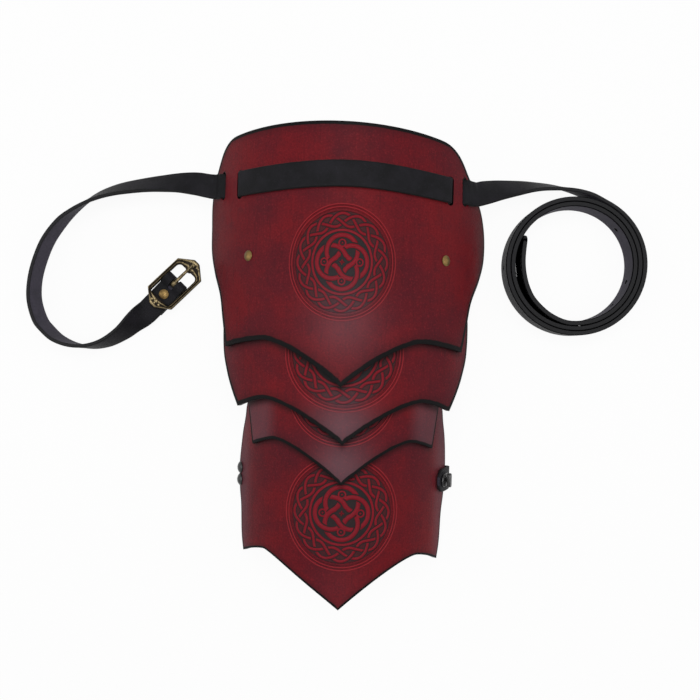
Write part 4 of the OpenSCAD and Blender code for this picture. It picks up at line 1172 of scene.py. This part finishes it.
# %% The neck buckle
FRAME_L, FRAME_W, FRAME_T = 58.6, 30.8, 3.6
FAR_END, NEAR_END, RAIL = 11.8, 9.5, 3.9
BAR_R, BEND_R = 2, 4
FAR, NEAR, SIDE = FRAME_L / 2 - FAR_END, -FRAME_L / 2 + NEAR_END, FRAME_W / 2 - RAIL
TILT = math.atan((stack - BAR_Z + FRAME_T / 2) / (FRAME_L / 2 - NEAR_END))
tip, edge = FRAME_L / 2, FRAME_W / 2
one_side = [(tip, 3), (tip - 10, edge), (10 - tip, edge), (-tip, 3)]
OUTLINE = one_side + [(x, -y) for x, y in reversed(one_side)]
corner = [(FAR - BEND_R + BEND_R * math.sin(a), SIDE - BEND_R + BEND_R * math.cos(a))
          for a in map(math.radians, (90, 70, 45, 20))]
upper_half = [(FAR - 1.1, 2), (FAR, 3), *corner, (FAR - BEND_R, SIDE), (NEAR, SIDE)]
WINDOW = [(x, -y) for x, y in reversed(upper_half)] + [(FAR - 1.8, 0)] + upper_half
# Share of the way from the outline to the window, height and wear
MOULDING = [(0.0, -1.8, 0.0), (0.0, 0.6, 0.2), (0.07, 1.35, 0.9), (0.16, 1.8, 1.0), (0.27, 1.55, 0.8),
            (0.36, 0.75, 0.1), (0.48, 0.65, 0.1), (0.58, 1.3, 0.7), (0.68, 1.5, 0.95), (0.78, 1.2, 0.6),
            (0.9, 0.6, 0.25), (1.0, 0.3, 0.2), (1.0, -1.8, 0.0)]
# Distance outwards, distance sideways and radius
BEADS = ((0, 0, 2.1), (1.2, 4.2, 1.5), (1.2, -4.2, 1.5), (2.6, 0, 1.3))
print("window:", round(2 * SIDE, 1), "mm wide, frame tilted", round(math.degrees(TILT), 1), "degrees")

# %% [markdown]
# In each direction from the middle, a ring of the loft lies a share of the way from the
# outline to the window. Waves carve the gable ends.

# %% Casting the frame
def ray_to(outline, a):
    """Where a ray from the middle at angle a meets a closed outline."""
    direction = Vector((math.cos(a), math.sin(a)))
    best = 0
    for i, start in enumerate(outline):
        p, q = Vector(start), Vector(outline[(i + 1) % len(outline)])
        run = q - p
        cross = direction.x * run.y - direction.y * run.x
        if abs(cross) > 1e-9:
            t = (p.x * run.y - p.y * run.x) / cross
            u = (p.x * direction.y - p.y * direction.x) / cross
            if t > 0 and -1e-6 <= u <= 1 + 1e-6:
                best = max(best, t)
    return best


def frame_ring(share, z, value):
    def ring(a):
        out, inn = ray_to(OUTLINE, a), ray_to(WINDOW, a)
        r = out + (inn - out) * share
        x = r * math.cos(a)
        carved = max(0.0, (abs(x) - 18) / 11)
        wave = 0.45 * carved * math.sin(9 * a) * math.sin(math.pi * share)
        return (x, r * math.sin(a), z + (wave if z > 0 else 0)), unit(value + wave)
    return ring


bm = bmesh.new()
loft(bm, [frame_ring(*row) for row in MOULDING], 160, closed=True)
ridge = bm.verts.layers.float.get("ridge")
for x in (-23.4, 24.2):
    for dx, dy, r in BEADS:
        bead = bmesh.ops.create_icosphere(bm, subdivisions=3, radius=r * MM)["verts"]
        for v in bead:
            v[ridge] = 0.45 + 0.5 * v.co.z / (r * MM)
            v.co.z *= 0.62
        bmesh.ops.translate(bm, verts=bead, vec=Vector((x + math.copysign(dx, x), dy, 1.0)) * MM)
crosswise = Matrix.Rotation(math.pi / 2, 3, "X")
at_bar = at_buckle @ Matrix.Translation((0, 0, BAR_Z * MM))
bar = bmesh.ops.create_cone(bm, cap_ends=True, segments=32, radius1=BAR_R * MM, radius2=BAR_R * MM,
                            depth=(2 * SIDE + 1) * MM)["verts"]
bmesh.ops.rotate(bm, verts=bar, cent=(0, 0, 0), matrix=crosswise)
bmesh.ops.transform(bm, verts=bm.verts, matrix=at_bar @ Matrix.Rotation(TILT, 4, "Y"))
hand_over(new_piece("neck_buckle_casting", bm, old_brass), 45, "neck_buckle", "brass", "neck_buckle_frame")

# %% [markdown]
# The tongue is a rod whose flattened end is rolled into an eye round the bar. It tapers to
# the tip, which dips onto the carved end of the frame.

# %% The tongue
ROD_R, EYE_HOLE = 1.3, BAR_R + 0.06
EYE_R = EYE_HOLE + 1.5
REST_X, TOUCH_X = FAR + 5.5, FAR - 1.8
TOUCH_Z = -TOUCH_X * math.tan(TILT) + FRAME_T / 2 / math.cos(TILT) + ROD_R + 0.12
LEAN = (TOUCH_Z - EYE_R + ROD_R) / TOUCH_X
half_eye = [(EYE_HOLE, 2.2, 0.1), (EYE_R - 0.3, 2.2, 0.4), (EYE_R, 1.9, 0.8)]
bm = bmesh.new()
eye = loft(bm, turned([(r, -z, value) for r, z, value in half_eye] + half_eye[::-1]), 40, closed=True)
bmesh.ops.rotate(bm, verts=eye, cent=(0, 0, 0), matrix=crosswise)


def rod_ring(u):
    x = 1.0 + REST_X * u
    z = (EYE_R - ROD_R) + LEAN * x + 0.3 * math.sin(math.pi * u) * (1 - u)
    r = (1.55 - 0.45 * u) * (1.0 if u < 0.97 else 0.75)
    return lambda a: ((x, r * math.cos(a) * 1.12, z + r * math.sin(a) * 0.86), 0.75 if math.sin(a) > 0 else 0.3)


loft(bm, [rod_ring(u) for u in (0, 0.08, 0.2, 0.35, 0.5, 0.65, 0.8, 0.9, 0.965, 1.0)], 20)
bmesh.ops.transform(bm, verts=bm.verts, matrix=at_bar)
hand_over(new_piece("neck_buckle_prong", bm, old_brass), 45, "neck_tongue", "brass", "neck_buckle_tongue")

# %% [markdown]
# ## The inner straps
# Two leather straps run down inside the plates and carry the lames. They bend where one
# plate ends and the next begins, so each is made in three stretches, and each stretch blends
# between the two plates that it joins.

# %% The inner straps
inner = {name: cut["bend_r"] - PLATE_T for name, cut in CUTS.items()}
rivet_line = sorted((y, inner[name] * math.sin(s / CUTS[name]["bend_r"])) for name, (s, y) in RIVET_AT.items())


def strap_x(y):
    """The strap's middle runs straight from rivet to rivet."""
    if y <= rivet_line[0][0]:
        return rivet_line[0][1]
    for (ya, xa), (yb, xb) in zip(rivet_line, rivet_line[1:]):
        if y <= yb:
            return xa + (xb - xa) * (y - ya) / (yb - ya)
    return rivet_line[-1][1]


def hinge_stretch(name, rows, replaced, flex_y):
    """rows give Y, the radius inside the plates and the height of their axis, from the neck down."""
    bm = bmesh.new()
    rim = bm.verts.layers.float.new("rim")
    for side in (-1, 1):
        before = set(bm.verts)
        bmesh.ops.create_grid(bm, x_segments=10, y_segments=30, size=1)
        for v in set(bm.verts) - before:
            y = rows[-1][0] + (rows[0][0] - rows[-1][0]) * (v.co.y + 1) / 2
            x = strap_x(y) + HINGE_W / 2 * v.co.x
            k = 0
            while k < len(rows) - 2 and y < rows[k + 1][0]:
                k += 1
            u = (rows[k][0] - y) / (rows[k][0] - rows[k + 1][0])
            z, next_z = (axis_z + math.sqrt((r - SEAT_GAP - HINGE_T / 2) ** 2 - x * x)
                         for _, r, axis_z in rows[k:k + 2])
            v[rim] = (1 - abs(v.co.x)) * HINGE_W / 2
            v.co = Vector((side * x, y, z + (next_z - z) * u)) * MM
        if side < 0:
            bmesh.ops.reverse_faces(bm, faces=bm.faces[:])
    piece = new_piece(name, bm, black_leather)
    thicken(piece, HINGE_T, 0)
    round_edges(piece, 0.4, 2)
    smooth(piece, 40)
    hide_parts(*replaced)
    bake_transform(piece)
    print(name, "bends at Y", flex_y)


in_cap, in_2, in_3, in_4 = inner.values()
hinge_stretch("upper_hinge_straps",
              [(207, in_cap, HIGH_Z), (187, in_cap, HIGH_Z), (180, (in_cap + in_2) / 2, HIGH_Z), (175, in_2, HIGH_Z),
               (160, in_2, HIGH_Z)],
              ["cap_hinge_straps", "lame_2_hinge_straps"], 175)
hinge_stretch("middle_hinge_straps",
              [(159.8, in_2, HIGH_Z), (154, in_2, HIGH_Z), (145, in_3, LOW_Z), (131, in_3, LOW_Z)],
              ["lame_3_hinge_straps"], 145)
hinge_stretch("lower_hinge_straps",
              [(130.8, in_3, LOW_Z), (106.5, in_3, LOW_Z), (88, in_3, LOW_Z), (82, in_4, LOW_Z), (56, in_4, LOW_Z)],
              ["lame_4_hinge_straps"], 82)

# %% [markdown]
# ## The arm strap
# The arm strap starts at the two domes inside the left edge, lies along the table under the
# wearer's arm, comes up outside the right edge and ends under the turn lock.

# %% The arm strap
ARM_W, LIFT = 21.0, 1.5
BASE_L, BASE_W = 19, 12
IN_R = LAME_4_R - PLATE_T - SEAT_GAP - ARM_T / 2
OUT_R = LAME_4_R + LIFT + ARM_T / 2
LOCK_S = EDGE_4 - 12.2
EDGE_A = EDGE_4 / LAME_4_R


def on_lame_4(s, r):
    return Vector(bend(s, LAME_4_R, r, LOW_Z))


def to_left(p):
    return Vector((-p.x, p.y))


def below_edge(p):
    """Where the strap, carried on past the plate's edge, meets the table."""
    return p + Vector((math.cos(EDGE_A), -math.sin(EDGE_A))) * (p.y - ARM_T / 2) / math.sin(EDGE_A)


in_edge, out_edge = on_lame_4(EDGE_4, IN_R), on_lame_4(EDGE_4, OUT_R)
middle = Vector((0, ARM_T / 2))
start_s, end_s = EDGE_4 - DOME_IN - 16, LOCK_S - BASE_L / 2 - 3
arm_path = [to_left(on_lame_4(start_s + (EDGE_4 - 1 - start_s) * i / 10, IN_R)) for i in range(11)]
arm_path += rounded(to_left(in_edge), to_left(below_edge(in_edge)), middle, 1.5)
arm_path += [Vector((x, ARM_T / 2)) for x in range(-80, 81, 10)]
arm_path += rounded(middle, below_edge(out_edge), out_edge, 2.6)
arm_path += [on_lame_4(EDGE_4 - 1 + (end_s - EDGE_4 + 1) * i / 12, OUT_R) for i in range(13)]
arm_path = [(Vector((p.x, 0, p.y)), Vector((0, 1, 0))) for p in arm_path]
arm_strap = swept_strap("arm_strap_band", arm_path, ARM_W, ARM_T, 8)
round_edges(arm_strap, 0.5, 2)
hand_over(arm_strap, 50, "lame_4", "black_leather", "arm_strap")

# %% [markdown]
# ## The turn lock
# The lock is a base on the plate, an oval eyelet in the strap and a bar that turns across
# it. All are lofts of ovals: two half circles with straight sides between them.

# %% The turn lock
def oval(length, width, z, turn=False):
    def ring(a):
        across = 0 if abs(math.cos(a)) < 1e-6 else math.copysign(1, math.cos(a))
        x = (length - width) / 2 * across + width / 2 * math.cos(a)
        y = width / 2 * math.sin(a)
        return ((-y, x, z) if turn else (x, y, z)), 0
    return ring


def lock_piece(name, node, body, *lofts, closed=False):
    bm = bmesh.new()
    for rings in lofts:
        loft(bm, rings, 48, closed=closed)
    bmesh.ops.transform(bm, verts=bm.verts, matrix=plate_matrix(LOCK_S, 0, CUTS["lame_4"], LAME_4_R))
    hand_over(new_piece(name, bm, black_metal), 40, body, "black_metal", node)


EYELET_Z = LIFT + ARM_T + 0.3
COLLAR = EYELET_Z + 1.2
KNOB_Z = COLLAR + 1.0
SLOT_L, SLOT_W = 13.5, 4.9
lock_piece("lock_base_plate", "turn_lock_base", "lame_4",
           [oval(BASE_L - 0.4, BASE_W - 0.4, 0.1), oval(BASE_L, BASE_W, 0.3), oval(BASE_L, BASE_W, 0.9),
            oval(BASE_L - 0.6, BASE_W - 0.6, 1.1)],
           [oval(SLOT_L - 3, SLOT_W - 0.6, 0.9), oval(SLOT_L - 3, SLOT_W - 0.6, COLLAR - 0.2),
            oval(SLOT_L - 3.4, SLOT_W - 1.0, COLLAR)])
lock_piece("lock_eyelet_ring", "turn_lock_eyelet", "lame_4",
           [oval(BASE_L - 0.4, BASE_W - 0.4, EYELET_Z), oval(BASE_L, BASE_W, EYELET_Z + 0.3),
            oval(BASE_L - 0.8, BASE_W - 0.8, EYELET_Z + 1.2),
            oval(SLOT_L + 1.2, SLOT_W + 1.2, EYELET_Z + 1.2), oval(SLOT_L, SLOT_W, EYELET_Z + 0.8),
            oval(SLOT_L, SLOT_W, EYELET_Z)], closed=True)
lock_piece("lock_turning_bar", "turn_lock_knob", "turn_lock",
           [oval(12.4, 3.8, KNOB_Z, True), oval(13, 4.4, KNOB_Z + 0.3, True), oval(13, 4.4, KNOB_Z + 2.8, True),
            oval(12.2, 3.6, KNOB_Z + 3.4, True)],
           turned([(1.6, 1.1, 0), (1.6, KNOB_Z + 0.2, 0)]))
